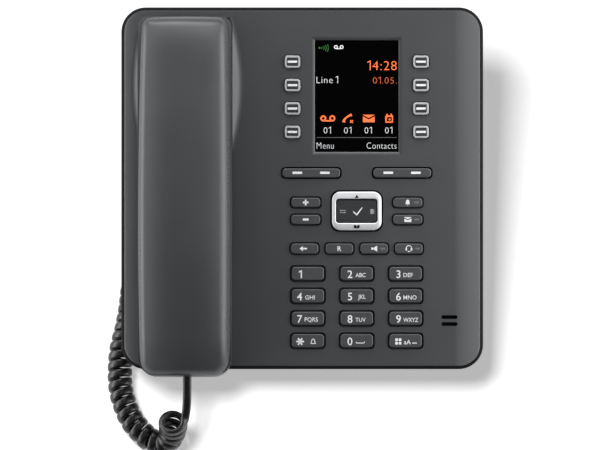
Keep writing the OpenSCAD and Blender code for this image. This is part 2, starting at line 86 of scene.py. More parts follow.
@dataclass(frozen=True)
class FaceFrame:
    """Place of the sloping face in the row frame.

    origin is the face's centre in metres, and right, up and out are its unit directions.
    """

    origin: Array
    right: Array
    up: Array
    out: Array

    @classmethod
    def from_joints(cls, joints: list, pivot_at: tuple[float, float, float]) -> "FaceFrame":
        """Reads the face from the four-way key's pivot and the handset's lift.

        Args:
            joints: the record's joints.
            pivot_at: the pivot's place in face millimetres.

        Returns:
            The face frame: origin = pivot - u * right - v * up - w * out.
        """
        named = {j["name"]: j for j in joints}
        out = np.array(named["handset_lift"]["axis"], float)
        up = np.array(named["nav_left_right"]["axis"], float)
        right = np.cross(up, out)
        pivot = np.array(named["nav_left_right"]["pos_m"], float)
        shift = np.array(pivot_at) * MM
        return cls(pivot - shift[0] * right - shift[1] * up - shift[2] * out, right, up, out)

    def at(self, uvw: Array) -> Array:
        """Row-frame points of face points: origin + u * right + v * up + w * out.

        Args:
            uvw: face points in millimetres, with three numbers along the last axis.

        Returns:
            The same points in metres, in the row frame.
        """
        return self.origin + np.asarray(uvw, float) @ np.stack([self.right, self.up, self.out]) * MM


PANEL_U = 28.9
NAV_V = -12.05
FACE = FaceFrame.from_joints(frame["joints"], (PANEL_U, NAV_V, -4.0))


# ---------------------------------------------------------------- surfaces


@dataclass
class Surface:
    """Points in face millimetres, the faces that join them, and an edge-wear value per point."""

    points: Array
    faces: list
    wear: Array | None = None

    def moved(self, u: float = 0, v: float = 0, w: float = 0) -> "Surface":
        """The same surface, shifted on the face."""
        return Surface(self.points + np.array([u, v, w]), self.faces, self.wear)

    def __add__(self, other: "Surface") -> "Surface":
        """Two surfaces as one."""
        lift = len(self.points)
        faces = self.faces + [tuple(i + lift for i in f) for f in other.faces]
        wear = np.concatenate([
            np.zeros(len(s.points)) if s.wear is None else s.wear for s in (self, other)
        ])
        return Surface(np.vstack([self.points, other.points]), faces, wear)


def joined(surfaces: list[Surface]) -> Surface:
    """All the surfaces of a list as one."""
    whole = surfaces[0]
    for s in surfaces[1:]:
        whole = whole + s
    return whole


def ring_faces(rings: int, around: int, closed: bool = True) -> Array:
    """Quads of a grid of rings, each joined to the next.

    Args:
        rings: how many rings there are.
        around: how many points each has.
        closed: whether a ring's last point joins its first.

    Returns:
        Rows of four point numbers: (r, k), (r, k + 1), (r + 1, k + 1), (r + 1, k).
    """
    r, k = np.meshgrid(np.arange(rings - 1), np.arange(around if closed else around - 1), indexing="ij")
    m = (k + 1) % around
    low, high = r * around, (r + 1) * around
    return np.stack([low + k, low + m, high + m, high + k], -1).reshape(-1, 4)


def stacked(rings: Array, wear: Array | None = None) -> Surface:
    """A closed solid from a stack of rings, with a fan at each end.

    Args:
        rings: points of shape (rings, around, 3), counter-clockwise seen from the last ring.
        wear: one wear value for each ring.

    Returns:
        The solid; its two poles are the mean points of the first and last rings.
    """
    n, around = rings.shape[:2]
    body = rings.reshape(-1, 3)
    poles = np.stack([rings[0].mean(0), rings[-1].mean(0)])
    k = np.arange(around)
    m = (k + 1) % around
    low = np.stack([m, k, np.full(around, n * around)], 1)
    top = (n - 1) * around
    high = np.stack([top + k, top + m, np.full(around, n * around + 1)], 1)
    faces = [tuple(f) for part in (ring_faces(n, around), low, high) for f in part.tolist()]
    value = np.zeros(n) if wear is None else wear
    return Surface(np.vstack([body, poles]), faces, np.append(np.repeat(value, around), [value[0], value[-1]]))


@dataclass(frozen=True)
class Outline:
    """A closed outline that can be drawn in: point = base + (r - inset) * normal."""

    base: Array
    normal: Array
    r: float

    @classmethod
    def rounded(cls, size: tuple[float, float], r: float, corner: int = 8, side: int = 1,
                end: int = 1, low_r: float | None = None) -> "Outline":
        """A rounded rectangle about the origin, counter-clockwise.

        Args:
            size: width and length.
            r: radius of the corners, and of the two upper ones if low_r is given.
            corner: steps round a corner.
            side: steps along a long side (running in v).
            end: steps along an end (running in u).
            low_r: radius of the two lower corners.

        Returns:
            The outline, whose normals turn evenly round each corner.
        """
        low = r if low_r is None else low_r
        w, l = size[0] / 2, size[1] / 2
        reach = max(r, low)
        a = np.linspace(0, math.pi / 2, corner + 1)
        bases, normals = [], []
        corners = ((0, r, (w, l), end), (1, r, (-w, l), side), (2, low, (-w, -l), end), (3, low, (w, -l), side))
        for turn, cr, (x, y), steps in corners:
            n = np.stack([np.cos(a + turn * math.pi / 2), np.sin(a + turn * math.pi / 2)], 1)
            centre = np.array([x - math.copysign(cr, x), y - math.copysign(cr, y)])
            bases.append(centre + (cr - reach) * n)
            normals.append(n)
            nx = {0: (-w + r, l), 1: (-w, -l + low), 2: (w - low, -l), 3: (w, l - r)}[turn]
            start = centre + cr * n[-1] - reach * n[-1]
            stop = np.array(nx) - reach * n[-1]
            t = np.linspace(0, 1, steps + 1)[1:-1, None]
            bases.append(start + (stop - start) * t)
            normals.append(np.repeat(n[-1:], len(t), 0))
        return cls(np.vstack(bases), np.vstack(normals), reach)

    def inset(self, d: float) -> Array:
        """The outline drawn in by d."""
        return self.base + (self.r - d) * self.normal


def fillet(r: float, top: float, steps: int = 5) -> list[tuple[float, float]]:
    """Stations round an outer top edge: inset r(1 - cos a), height top - r(1 - sin a)."""
    a = np.linspace(0, math.pi / 2, steps + 1)
    return [(r * (1 - math.cos(t)), top - r * (1 - math.sin(t))) for t in a]


def pillow(outline: Outline, stations: list[tuple[float, float]], shrink: tuple[float, ...] = (),
           wear: list[float] | None = None) -> Surface:
    """A closed solid whose rings are an outline drawn in, then shrunk towards the middle.

    Args:
        outline: the outline at inset 0.
        stations: (inset, height) of each ring, from the foot to the top edge.
        shrink: shares of the last ring's size, for the rings that fill the top.
        wear: edge wear of each station.

    Returns:
        The solid.
    """
    flat = [np.column_stack([outline.inset(d), np.full(len(outline.base), h)]) for d, h in stations]
    last = flat[-1]
    flat += [last * np.array([k, k, 1]) for k in shrink]
    value = np.zeros(len(flat))
    if wear is not None:
        value[:len(wear)] = wear
    return stacked(np.stack(flat), value)


def block(size: tuple[float, float], r: float, low: float, high: float, edge: float,
          corner: int = 6) -> Surface:
    """A rounded plate between two levels, with its upper edge rounded by edge."""
    stations = [(0, low)] + fillet(edge, high, 4)
    shrink = (0.8, 0.4)
    wear = [0.0, 0.2, 0.8, 1.0, 0.8, 0.2]
    return pillow(Outline.rounded(size, r, corner), stations, shrink, wear)


def prism(outline: Array, low: float, high: float) -> Surface:
    """A flat shape of any simple outline between two levels.

    Args:
        outline: points of shape (n, 2), counter-clockwise.
        low: level of the underside.
        high: level of the top.

    Returns:
        The prism, with one face above, one below and a wall between.
    """
    n = len(outline)
    points = np.vstack([np.column_stack([outline, np.full(n, h)]) for h in (low, high)])
    faces = [tuple(range(n))[::-1], tuple(range(n, 2 * n))]
    return Surface(points, faces + [tuple(f) for f in ring_faces(2, n).tolist()])


def stroke(path: Array, width: float | Array, low: float, high: float) -> Surface:
    """A line of a given width drawn along a flat path: path +- width / 2 * normal.

    Args:
        path: points of shape (n, 2).
        width: the line's width, one value or one for each point.
        low: level of the underside.
        high: level of the top.

    Returns:
        The line as a prism.
    """
    path = np.asarray(path, float)
    along = np.gradient(path, axis=0)
    along /= np.linalg.norm(along, axis=1)[:, None]
    across = np.column_stack([-along[:, 1], along[:, 0]])
    half = np.broadcast_to(np.asarray(width, float) / 2, len(path))[:, None]
    right, left = path - across * half, path + across * half
    edges = ((left, low), (left, high), (right, high), (right, low))
    rows = [np.column_stack([p, np.full(len(path), h)]) for p, h in edges]
    n = len(path)
    grid = ring_faces(4, n, False)
    close = ring_faces(2, n, False).copy()
    close = np.where(close >= n, close - n, close + 3 * n)
    ends = [tuple(i * n for i in (3, 2, 1, 0)), tuple((i + 1) * n - 1 for i in (0, 1, 2, 3))]
    faces = [tuple(f[::-1]) for f in np.vstack([grid, close]).tolist()]
    return Surface(np.vstack(rows), faces + [e[::-1] for e in ends])


def circle(centre: tuple[float, float], r: float, start: float = 0, stop: float = 360,
           steps: int = 20) -> Array:
    """Points of an arc: centre + r (cos a, sin a), with a in degrees from start to stop."""
    a = np.radians(np.linspace(start, stop, steps + 1))
    return np.column_stack([centre[0] + r * np.cos(a), centre[1] + r * np.sin(a)])


# ---------------------------------------------------------------- shader maths


class Graph:
    """The node tree of one material."""

    def __init__(self, name: str) -> None:
        """Starts an empty tree in a new material."""
        self.material = bpy.data.materials.new(name)
        self.material.use_nodes = True
        self.tree = self.material.node_tree
        self.tree.nodes.clear()

    def node(self, kind: str, settings: dict | None = None, sockets: dict | None = None) -> bpy.types.Node:
        """Adds any node.

        Args:
            kind: the node's type, such as ShaderNodeTexNoise.
            settings: properties, set first; ramp is a list of (place, colour) stops.
            sockets: values or links of the inputs, by name or number.

        Returns:
            The node.
        """
        made = self.tree.nodes.new(kind)
        for key, value in (settings or {}).items():
            if key == "ramp":
                stops = made.color_ramp.elements
                while len(stops) < len(value):
                    stops.new(0.5)
                for stop, (place, colour) in zip(stops, value):
                    stop.position = place
                    stop.color = colour
            else:
                setattr(made, key, value)
        for key, value in (sockets or {}).items():
            self.feed(made.inputs[key], value)
        return made

    def feed(self, socket: bpy.types.NodeSocket, value: object) -> None:
        """Gives an input a link or a constant."""
        if isinstance(value, Wire):
            self.tree.links.new(value.socket, socket)
        else:
            socket.default_value = value

    def wire(self, kind: str, settings: dict | None = None, sockets: dict | None = None,
             out: int | str = 0) -> "Wire":
        """Adds a node and returns one of its outputs."""
        return Wire(self, self.node(kind, settings, sockets).outputs[out])

    def place(self) -> "Wire":
        """Object coordinates."""
        return self.wire("ShaderNodeTexCoord", out="Object")

    def attribute(self, name: str) -> "Wire":
        """A per-point value stored on the mesh."""
        return self.wire("ShaderNodeAttribute", {"attribute_name": name}, out="Fac")

    def noise(self, scale: float, detail: float = 4, rough: float = 0.5) -> "Wire":
        """Cloudy noise of so many lumps a metre, from 0 to 1."""
        return self.wire("ShaderNodeTexNoise", {}, {
            "Vector": self.place(), "Scale": scale, "Detail": detail, "Roughness": rough})

    def mix(self, low: tuple, high: tuple, factor: "Wire") -> "Wire":
        """A colour between two, by a factor."""
        return self.wire("ShaderNodeMix", {"data_type": "RGBA"}, {0: factor, 6: low, 7: high}, 2)

    def bump(self, height: "Wire", strength: float, depth: float, under: "Wire | None" = None) -> "Wire":
        """A normal roughened by a height, over another normal if one is given; depth is in metres."""
        sockets = {"Strength": strength, "Distance": depth, "Height": height}
        return self.wire("ShaderNodeBump", {}, sockets if under is None else sockets | {"Normal": under})

    def across(self) -> "Wire":
        """The X part of the object coordinates."""
        return self.wire("ShaderNodeSeparateXYZ", {}, {0: self.place()})

    def surface(self, sockets: dict) -> bpy.types.Material:
        """Ends the tree in a principled surface with these inputs."""
        shader = self.node("ShaderNodeBsdfPrincipled", {}, sockets)
        self.node("ShaderNodeOutputMaterial", {}, {"Surface": Wire(self, shader.outputs[0])})
        return self.material


@dataclass(frozen=True)
class Wire:
    """A node's output, with arithmetic: each operator adds a Math node."""

    graph: Graph
    socket: bpy.types.NodeSocket

    def _math(self, operation: str, first: object, second: object) -> "Wire":
        """One Math node."""
        return self.graph.wire("ShaderNodeMath", {"operation": operation}, {0: first, 1: second})

    def __add__(self, other: object) -> "Wire":
        """Sum."""
        return self._math("ADD", self, other)

    __radd__ = __add__

    def __mul__(self, other: object) -> "Wire":
        """Product."""
        return self._math("MULTIPLY", self, other)

    __rmul__ = __mul__

    def __sub__(self, other: object) -> "Wire":
        """Difference."""
        return self._math("SUBTRACT", self, other)

    def __rsub__(self, other: object) -> "Wire":
        """Reflected difference."""
        return self._math("SUBTRACT", other, self)

    def __pow__(self, other: object) -> "Wire":
        """Power."""
        return self._math("POWER", self, other)

    def above(self, level: float, soft: float) -> "Wire":
        """0 below level - soft, 1 above level + soft, and even between."""
        return self.graph.wire("ShaderNodeMapRange", {"clamp": True}, {
            0: self, 1: level - soft, 2: level + soft, 3: 0.0, 4: 1.0})


def srgb(code: str, alpha: float = 1.0) -> tuple[float, float, float, float]:
    """Linear colour of a six-digit display colour: ((c + 0.055) / 1.055) ^ 2.4 for each part."""
    parts = [int(code[i:i + 2], 16) / 255 for i in (0, 2, 4)]
    return tuple([c / 12.92 if c <= 0.04045 else ((c + 0.055) / 1.055) ** 2.4 for c in parts] + [alpha])


# ---------------------------------------------------------------- finishes


@dataclass(frozen=True)
class Moulded:
    """Injection-moulded plastic with a fine spark-eroded grain, polished along worn edges."""

    name: str
    colour: str
    rough: float = 0.5
    specular: float = 0.5
    grain: float = 1500.0
    grain_depth: float = 0.00003
    grain_strength: float = 0.35
    worn: float = 0.16
    lean: tuple[float, float, float] = (0.0, 0.0, 0.0)

    def leaning(self, g: "Graph") -> "Wire | None":
        """The normal of a crowned face that falls away near its left and right ends.

        Args:
            g: the material's tree.

        Returns:
            The normal of height -(crown * x^2 + left * a^2 + right * b^1.5), where a and b rise from
            0 to 1 across the two end strips, or None where the piece doesn't lean.
        """
        crown, left, right = self.lean
        if not any(self.lean):
            return None
        x = g.across()
        a = (0 - x).above(0.091, 0.005)
        b = x.above(0.0885, 0.0075)
        return g.bump(0 - (x * x * crown + a * a * left + b ** 1.5 * right), 1.0, 1.0)

    def build(self) -> bpy.types.Material:
        """The material: noise for grain and soft blotches, and the wear value for edges."""
        g = Graph(self.name)
        base = np.array(srgb(self.colour))
        blotch = g.noise(38, 3)
        grain = g.noise(self.grain, 2, 0.6)
        edge = g.attribute("wear")
        speck = g.noise(900, 1).above(0.66, 0.04)
        tone = (blotch - 0.5) * 0.5 + (grain - 0.5) * 0.35 + 0.5
        dark, light = (tuple(np.append(base[:3] * k, 1)) for k in (0.86, 1.16))
        worn = tuple(np.append(base[:3] * (1 + self.worn * 3), 1))
        colour = g.mix(dark, light, tone)
        share = edge * self.worn * 2
        colour = g.wire("ShaderNodeMix", {"data_type": "RGBA"}, {0: share, 6: colour, 7: worn}, 2)
        rough = (blotch - 0.5) * 0.12 + (grain - 0.5) * 0.1 + self.rough - edge * 0.12 - speck * 0.03
        return g.surface({
            "Base Color": colour, "Roughness": rough, "Specular IOR Level": self.specular,
            "Normal": g.bump(grain, self.grain_strength, self.grain_depth, self.leaning(g)),
        })


@dataclass(frozen=True)
class Painted:
    """Satin metallic paint with fine flakes and lightly rubbed edges."""

    name: str
    colour: str
    metallic: float = 0.35
    rough: float = 0.32

    def build(self) -> bpy.types.Material:
        """The material: flake noise in tone and roughness, and a darker rubbed edge."""
        g = Graph(self.name)
        base = np.array(srgb(self.colour))
        flake = g.noise(5200, 2, 0.7)
        cloud = g.noise(60, 3)
        edge = g.attribute("wear")
        tone = (flake - 0.5) * 0.5 + (cloud - 0.5) * 0.3 + 0.5
        colour = g.mix(tuple(np.append(base[:3] * 0.9, 1)), tuple(np.append(base[:3] * 1.04, 1)), tone)
        return g.surface({
            "Base Color": colour, "Metallic": self.metallic,
            "Roughness": (flake - 0.5) * 0.18 + (cloud - 0.5) * 0.08 + self.rough + edge * 0.06,
            "Coat Weight": 0.25, "Coat Roughness": 0.18,
            "Normal": g.bump(flake, 0.15, 0.00001),
        })


@dataclass(frozen=True)
class Sheath:
    """Satin vinyl of a cord, with faint drawn lines and handling marks."""

    name: str
    colour: str
    rough: float = 0.33

    def build(self) -> bpy.types.Material:
        """The material: two scales of noise in tone, roughness and bump."""
        g = Graph(self.name)
        base = np.array(srgb(self.colour))
        mark = g.noise(260, 4, 0.6)
        skin = g.noise(2400, 2)
        colour = g.mix(tuple(np.append(base[:3] * 0.8, 1)), tuple(np.append(base[:3] * 1.35, 1)), mark)
        return g.surface({
            "Base Color": colour, "Specular IOR Level": 0.5,
            "Roughness": (mark - 0.5) * 0.2 + (skin - 0.5) * 0.08 + self.rough,
            "Normal": g.bump(skin, 0.2, 0.00002),
        })


@dataclass(frozen=True)
class Ink:
    """Pad-printed ink, a little uneven in cover."""

    name: str
    colour: str
    glow: float = 0.0

    def build(self) -> bpy.types.Material:
        """The material: fine noise in cover and roughness, and a glow if it is lit."""
        g = Graph(self.name)
        base = np.array(srgb(self.colour))
        cover = g.noise(2600, 3, 0.65)
        colour = g.mix(tuple(np.append(base[:3] * 0.86, 1)), tuple(base), cover.above(0.42, 0.18))
        sockets = {"Base Color": colour, "Roughness": (cover - 0.5) * 0.2 + 0.55,
                   "Specular IOR Level": 0.3}
        if self.glow:
            sockets |= {"Emission Color": colour, "Emission Strength": self.glow}
        return g.surface(sockets)


@dataclass(frozen=True)
class Pane:
    """Hard-coated black display window with faint smudges."""

    name: str
    colour: str

    def build(self) -> bpy.types.Material:
        """The material: near black, with smudge noise in roughness."""
        g = Graph(self.name)
        smudge = g.noise(90, 4, 0.6)
        dust = g.noise(3000, 1).above(0.74, 0.03)
        colour = g.mix(srgb(self.colour), srgb("101112"), dust * 0.3)
        return g.surface({
            "Base Color": colour, "Specular IOR Level": 0.03,
            "Roughness": smudge.above(0.55, 0.2) * 0.14 + 0.12,
        })


@dataclass(frozen=True)
class Metal:
    """Plated or brushed metal."""

    name: str
    colour: str
    rough: float = 0.3

    def build(self) -> bpy.types.Material:
        """The material: scuff noise in tone, roughness and bump."""
        g = Graph(self.name)
        base = np.array(srgb(self.colour))
        scuff = g.noise(700, 5, 0.7)
        colour = g.mix(tuple(np.append(base[:3] * 0.7, 1)), tuple(base), scuff)
        return g.surface({
            "Base Color": colour, "Metallic": 1.0, "Roughness": (scuff - 0.5) * 0.3 + self.rough,
            "Normal": g.bump(scuff, 0.1, 0.00002),
        })


@dataclass(frozen=True)
class Clear:
    """Clear moulding of a modular plug."""

    name: str
    colour: str

    def build(self) -> bpy.types.Material:
        """The material: partly see-through, with flow marks."""
        g = Graph(self.name)
        flow = g.noise(500, 3)
        colour = g.mix(srgb(self.colour), srgb("f4f6f8"), flow)
        return g.surface({"Base Color": colour, "Roughness": flow * 0.15 + 0.12, "Alpha": flow * 0.2 + 0.45})


@dataclass(frozen=True)
class Board:
    """Circuit board: solder mask with tracks and pads."""

    name: str

    def build(self) -> bpy.types.Material:
        """The material: a cell pattern for tracks under green mask."""
        g = Graph(self.name)
        cells = g.wire("ShaderNodeTexVoronoi", {"feature": "DISTANCE_TO_EDGE"},
                       {"Vector": g.place(), "Scale": 240.0})
        track = cells.above(0.06, 0.02)
        colour = g.mix(srgb("3f7a4b"), srgb("225236"), track)
        return g.surface({"Base Color": colour, "Roughness": track * 0.1 + 0.3,
                          "Normal": g.bump(track, 0.2, 0.00003)})


@dataclass(frozen=True)
class Paper:
    """Pale studio floor, which glows a little so that shadows on it stay light."""

    name: str
    colour: str
    glow: float = 0.46

    def build(self) -> bpy.types.Material:
        """The material: nearly white, with the faintest mottle."""
        g = Graph(self.name)
        mottle = g.noise(3, 3)
        colour = g.mix(srgb(self.colour), srgb("ffffff"), mottle)
        return g.surface({"Base Color": colour, "Roughness": mottle * 0.05 + 0.9, "Specular IOR Level": 0.0,
                          "Emission Color": colour, "Emission Strength": self.glow})


class Look(Enum):
    """The finishes of the phone, by what they are for."""

    SHELL = Moulded("anthracite_grain", "404143", rough=0.42)
    FACE = Moulded("face_grain", "3d3e40", rough=0.42, lean=(0.6, 0.0018, 0.0028))
    HANDSET = Moulded("handset_grain", "3c3d3f", rough=0.4)
    KEYS = Moulded("key_grain", "3e3f41", rough=0.48, worn=0.3)
    DARK = Moulded("dark_shell_grain", "3a3b3d", rough=0.55)
    OK_KEY = Moulded("ok_key_satin", "2d2e30", rough=0.38, grain_strength=0.15, worn=0.2)
    WELL = Moulded("key_gap_black", "0b0b0c", rough=0.7, specular=0.1)
    RING = Painted("silver_satin", "e2e3e6")
    LIGHT_RING = Moulded("line_key_frame", "a9abae", rough=0.4, worn=0.05)
    CORD = Sheath("cord_vinyl", "161617")
    BOOT = Sheath("boot_vinyl", "1a1a1b", rough=0.45)
    RUBBER = Moulded("foot_rubber_matt", "1a1a1b", rough=0.85, specular=0.3)
    WHITE_INK = Ink("white_print", "e4e5e7")
    GREY_INK = Ink("grey_print", "9a9ca0")
    LED_OFF = Ink("unlit_lamp", "6c6e72")
    # painted shade: a near-black matt finish for the top shell's steep rim faces, standing in for the shade on
    # its turned-away edge
    RIM_SHADE = Moulded("rim_grain", "131415", rough=0.75, specular=0.1)
    PANE = Pane("display_pane", "010101")
    LIT_WHITE = Ink("lit_white", "c6c7ca", glow=0.6)
    LIT_GREY = Ink("lit_grey", "4c4d50", glow=0.5)
    LIT_ORANGE = Ink("lit_orange", "e2683a", glow=0.62)
    LIT_AMBER = Ink("lit_amber", "b8542c", glow=0.5)
    LIT_GREEN = Ink("lit_green", "2f7430", glow=0.45)
    STEEL = Metal("plated_steel", "a8a9ab")
    SHIELD = Metal("jack_shield_tin", "c2c3c6", rough=0.25)
    CLEAR = Clear("plug_clear", "d8dade")
    BOARD = Board("board_green")
    FLOOR = Paper("studio_paper", "fcfcfc")


MADE: dict[Look, bpy.types.Material] = {}


def dressed(look: Look) -> bpy.types.Material:
    """The material of a look, built once."""
    if look not in MADE:
        MADE[look] = look.value.build()
    return MADE[look]


# ---------------------------------------------------------------- pieces


def put(name: str, points: Array, faces: list, look: Look, body: str | None,
        wear: Array | None = None, smooth: float = 35) -> bpy.types.Object:
    """Makes a piece from points in the row frame.

    Args:
        name: the piece's name.
        points: points in metres.
        faces: tuples of point numbers.
        look: its finish.
        body: the CAD body it rides on, or None for one that rides on no body.
        wear: edge wear of each point.
        smooth: angle in degrees under which neighbouring faces shade as one.

    Returns:
        The piece, at the origin, unturned and unscaled.
    """
    mesh = bpy.data.meshes.new(name)
    mesh.from_pydata(np.asarray(points).tolist(), [], faces)
    if wear is not None:
        mesh.attributes.new("wear", "FLOAT", "POINT").data.foreach_set("value", np.asarray(wear, np.float32))
    mesh.materials.append(dressed(look))
    mesh.update()
    mesh.shade_smooth()
    mesh.set_sharp_from_angle(angle=math.radians(smooth))
    piece = bpy.data.objects.new(name, mesh)
    bpy.context.scene.collection.objects.link(piece)
    if body:
        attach(piece, body)
    return piece


def on_face(name: str, surface: Surface, look: Look, body: str,
            smooth: float = 35) -> bpy.types.Object:
    """Makes a piece from a surface in face millimetres."""
    return put(name, FACE.at(surface.points), surface.faces, look, body, surface.wear, smooth)


def repaint(node: str, look: Look) -> None:
    """Gives a CAD node a finish."""
    mesh = frame["nodes"][node].data
    mesh.materials.clear()
    mesh.materials.append(dressed(look))


def softened(node: str, name: str, look: Look, width: float) -> bpy.types.Object:
    """A copy of a CAD node with its flat faces merged and its edges softly rounded.

    Args:
        node: the CAD node.
        name: the new piece's name.
        look: its finish.
        width: how wide the rounding is, in millimetres.

    Returns:
        The piece, which stands for the node.
    """
    source = frame["nodes"][node]
    mesh = source.data.copy()
    mesh.name = name
    bm = bmesh.new()
    bm.from_mesh(mesh)
    bmesh.ops.remove_doubles(bm, verts=bm.verts, dist=0.000002)
    bmesh.ops.dissolve_limit(bm, angle_limit=math.radians(0.6), verts=bm.verts, edges=bm.edges)
    bm.to_mesh(mesh)
    bm.free()
    mesh.materials.clear()
    mesh.materials.append(dressed(look))
    mesh.shade_smooth()
    piece = bpy.data.objects.new(name, mesh)
    bpy.context.scene.collection.objects.link(piece)
    bevel = piece.modifiers.new("edge", "BEVEL")
    bevel.width = width * MM
    bevel.segments = 2
    bevel.limit_method = "ANGLE"
    bevel.angle_limit = math.radians(40)
    bevel.harden_normals = True
    bevel.use_clamp_overlap = True
    weight = piece.modifiers.new("shading", "WEIGHTED_NORMAL")
    weight.weight = 100
    weight.keep_sharp = True
    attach(piece, source["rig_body"])
    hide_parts(node)
    return piece


def flagged_one(height: float, width: float) -> Array:
    """Outline of a figure one with a flag: a stem of a width, and a slanting stroke at its top."""
    flag = 0.26 * height
    return np.array([[-width, 0], [0, 0], [0, height], [-0.7 * width, height], [-width - flag, 0.84 * height],
                     [-width - flag, 0.84 * height - width], [-width, height - 1.35 * width]])


def lettering(text: str, height: float, low: float, high: float, spacing: float = 1.0,
              bold: float = 0.0) -> Surface:
    """Printed figures, centred on the origin, with a flagged figure one.

    Args:
        text: the figures.
        height: height of a capital, in millimetres.
        low: level of the underside.
        high: level of the top.
        spacing: how far apart the figures stand, 1 being usual.
        bold: how much each stroke is fattened, in millimetres.

    Returns:
        The figures as one surface in face millimetres.
    """
    runs = [run for run in re.split("(1)", text) if run]
    gap = 0.17 * height * spacing
    parts, edge = [], 0.0
    for run in runs:
        if run == "1":
            part = prism(flagged_one(height, 0.13 * height + 2 * bold), low, high)
        else:
            part = typed(run.rstrip(), height, low, high, spacing, bold)
        left, right = part.points[:, 0].min(), part.points[:, 0].max()
        parts.append(part.moved(edge - left))
        edge += right - left + gap * (2.2 if run.endswith(" ") else 1)
    whole = joined(parts)
    middle = (whole.points.min(0) + whole.points.max(0)) / 2
    return whole.moved(-middle[0], -middle[1])


def typed(text: str, height: float, low: float, high: float, spacing: float, bold: float) -> Surface:
    """One run of figures, standing on the line v = 0.

    Args:
        text: the figures.
        height: height of a capital, in millimetres.
        low: level of the underside.
        high: level of the top.
        spacing: how far apart the figures stand, 1 being usual.
        bold: how much each stroke is fattened, in millimetres.

    Returns:
        The figures as one surface in face millimetres.
    """
    cap_share = 0.729
    curve = bpy.data.curves.new("figures", "FONT")
    curve.body = text
    curve.size = height / cap_share
    curve.space_character = spacing
    curve.offset = bold
    curve.resolution_u = 3
    curve.extrude = (high - low) / 2
    holder = bpy.data.objects.new("figures", curve)
    mesh = holder.to_mesh()
    points = np.zeros(len(mesh.vertices) * 3)
    mesh.vertices.foreach_get("co", points)
    points = points.reshape(-1, 3)
    faces = [tuple(p.vertices) for p in mesh.polygons]
    holder.to_mesh_clear()
    bpy.data.objects.remove(holder)
    bpy.data.curves.remove(curve)
    return Surface(points + np.array([0, 0, (low + high) / 2]), faces)


# ---------------------------------------------------------------- body


@dataclass(frozen=True)
class Shoulders:
    """The two low rises beside the handset's ear end, each with a sloping flank on a hollow foot.

    At x inside the outline's arc the height is r - sqrt(r^2 - x^2) on the foot, and then
    r (1 - cos a) + (x - r sin a) tan a on the flank, which leans by a.
    """

    at: tuple[float, float] = (-61.0, 54.5)
    half_w: float = 29.8
    outline_r: float = 120.0
    foot_r: float = 5.0
    slope: float = math.radians(33)
    inner_u: tuple[float, float] = (-87.25, -36.95)
    lift: float = 0.03

    def surface(self, side: int) -> Surface:
        """One rise, from its outline in to the handset's edge.

        Args:
            side: -1 for the left rise, 1 for the right one.

        Returns:
            An open sheet in face millimetres: hollow outwards, with a short wall at its inner end.
        """
        inner = side * (self.inner_u[0 if side < 0 else 1] - self.at[0])
        reach = self.half_w - inner
        half_l = min(math.sqrt(self.outline_r ** 2 - (self.outline_r - reach) ** 2), 36.0)
        v = np.linspace(-half_l, half_l, 61)[:, None]
        edge = np.sqrt(self.outline_r ** 2 - v ** 2) - (self.outline_r - self.half_w)
        x = np.append(np.linspace(0, 1, 25), 1)[None, :] * (edge - inner)
        bend = self.foot_r * math.sin(self.slope)
        foot = self.foot_r - np.sqrt(self.foot_r ** 2 - np.minimum(x, bend) ** 2)
        w = foot + np.clip(x - bend, 0, None) * math.tan(self.slope) + self.lift
        w[:, -1] = -0.1
        grid = np.stack([side * (edge - x), v + 0 * x, w], -1)
        faces = ring_faces(*grid.shape[:2], False)
        if side > 0:
            faces = faces[:, ::-1]
        return Surface(grid.reshape(-1, 3), [tuple(f) for f in faces.tolist()]).moved(*self.at)

    def build(self) -> None:
        """Makes both rises, as a part of the face."""
        for name, side in (("left", -1), ("right", 1)):
            on_face("shoulder_" + name, self.surface(side), Look.SHELL, "base")


@dataclass
class Casing:
    """The body's shells, the stand and the feet."""

    edge: float = 0.28
    steep: float = 0.95
    window_at: tuple[float, float, float] = (PANEL_U, 48.85, 0.0)

    def paint_rim_shade(self, shell: bpy.types.Object) -> None:
        """Paints shade on the rim: the faces whose normal . out is under the steep share get a second,
        near-black finish, a painted shade for the dark turned-away edge.

        Args:
            shell: the top shell's piece; the bevels of its window keep the first finish.
        """
        mesh = shell.data
        mesh.materials.append(dressed(Look.RIM_SHADE))
        normals = np.zeros(len(mesh.polygons) * 3)
        mesh.polygons.foreach_get("normal", normals)
        middles = np.zeros(len(mesh.polygons) * 3)
        mesh.polygons.foreach_get("center", middles)
        offset = middles.reshape(-1, 3) - FACE.at(self.window_at)
        in_window = (np.abs(offset @ FACE.right) < 0.026) & (np.abs(offset @ FACE.up) < 0.033)
        # painted shade: the steep rim faces outside the window take the near-black finish
        steep = (normals.reshape(-1, 3) @ FACE.out < self.steep) & ~in_window
        mesh.polygons.foreach_set("material_index", steep.astype(np.int32))
        mesh.update()

    def build(self) -> None:
        """Rounds the CAD shells' edges, paints shade on the top shell's rim, and dresses the inner pieces."""
        shell = softened("top_shell", "face_shell", Look.FACE, self.edge)
        self.paint_rim_shade(shell)
        softened("bottom_shell", "underside_shell", Look.DARK, 0.4)
        softened("desk_stand", "stand_wedge", Look.DARK, 0.8)
        softened("hook_plunger", "cradle_plunger", Look.DARK, 0.6)
        for node, look in {
            "rubber_feet": Look.RUBBER, "lcd_module": Look.SHIELD, "keypad_mat": Look.WELL,
            "main_board": Look.BOARD, "handsfree_speaker": Look.WELL, "base_microphone": Look.WELL,
            "network_jacks": Look.SHIELD, "power_jack": Look.BOOT, "cord_jacks": Look.BOOT,
            "shell_screws": Look.STEEL, "nav_tilt_plate": Look.WELL, "cord_base_plug": Look.CLEAR,
        }.items():
            repaint(node, look)


# ---------------------------------------------------------------- handset


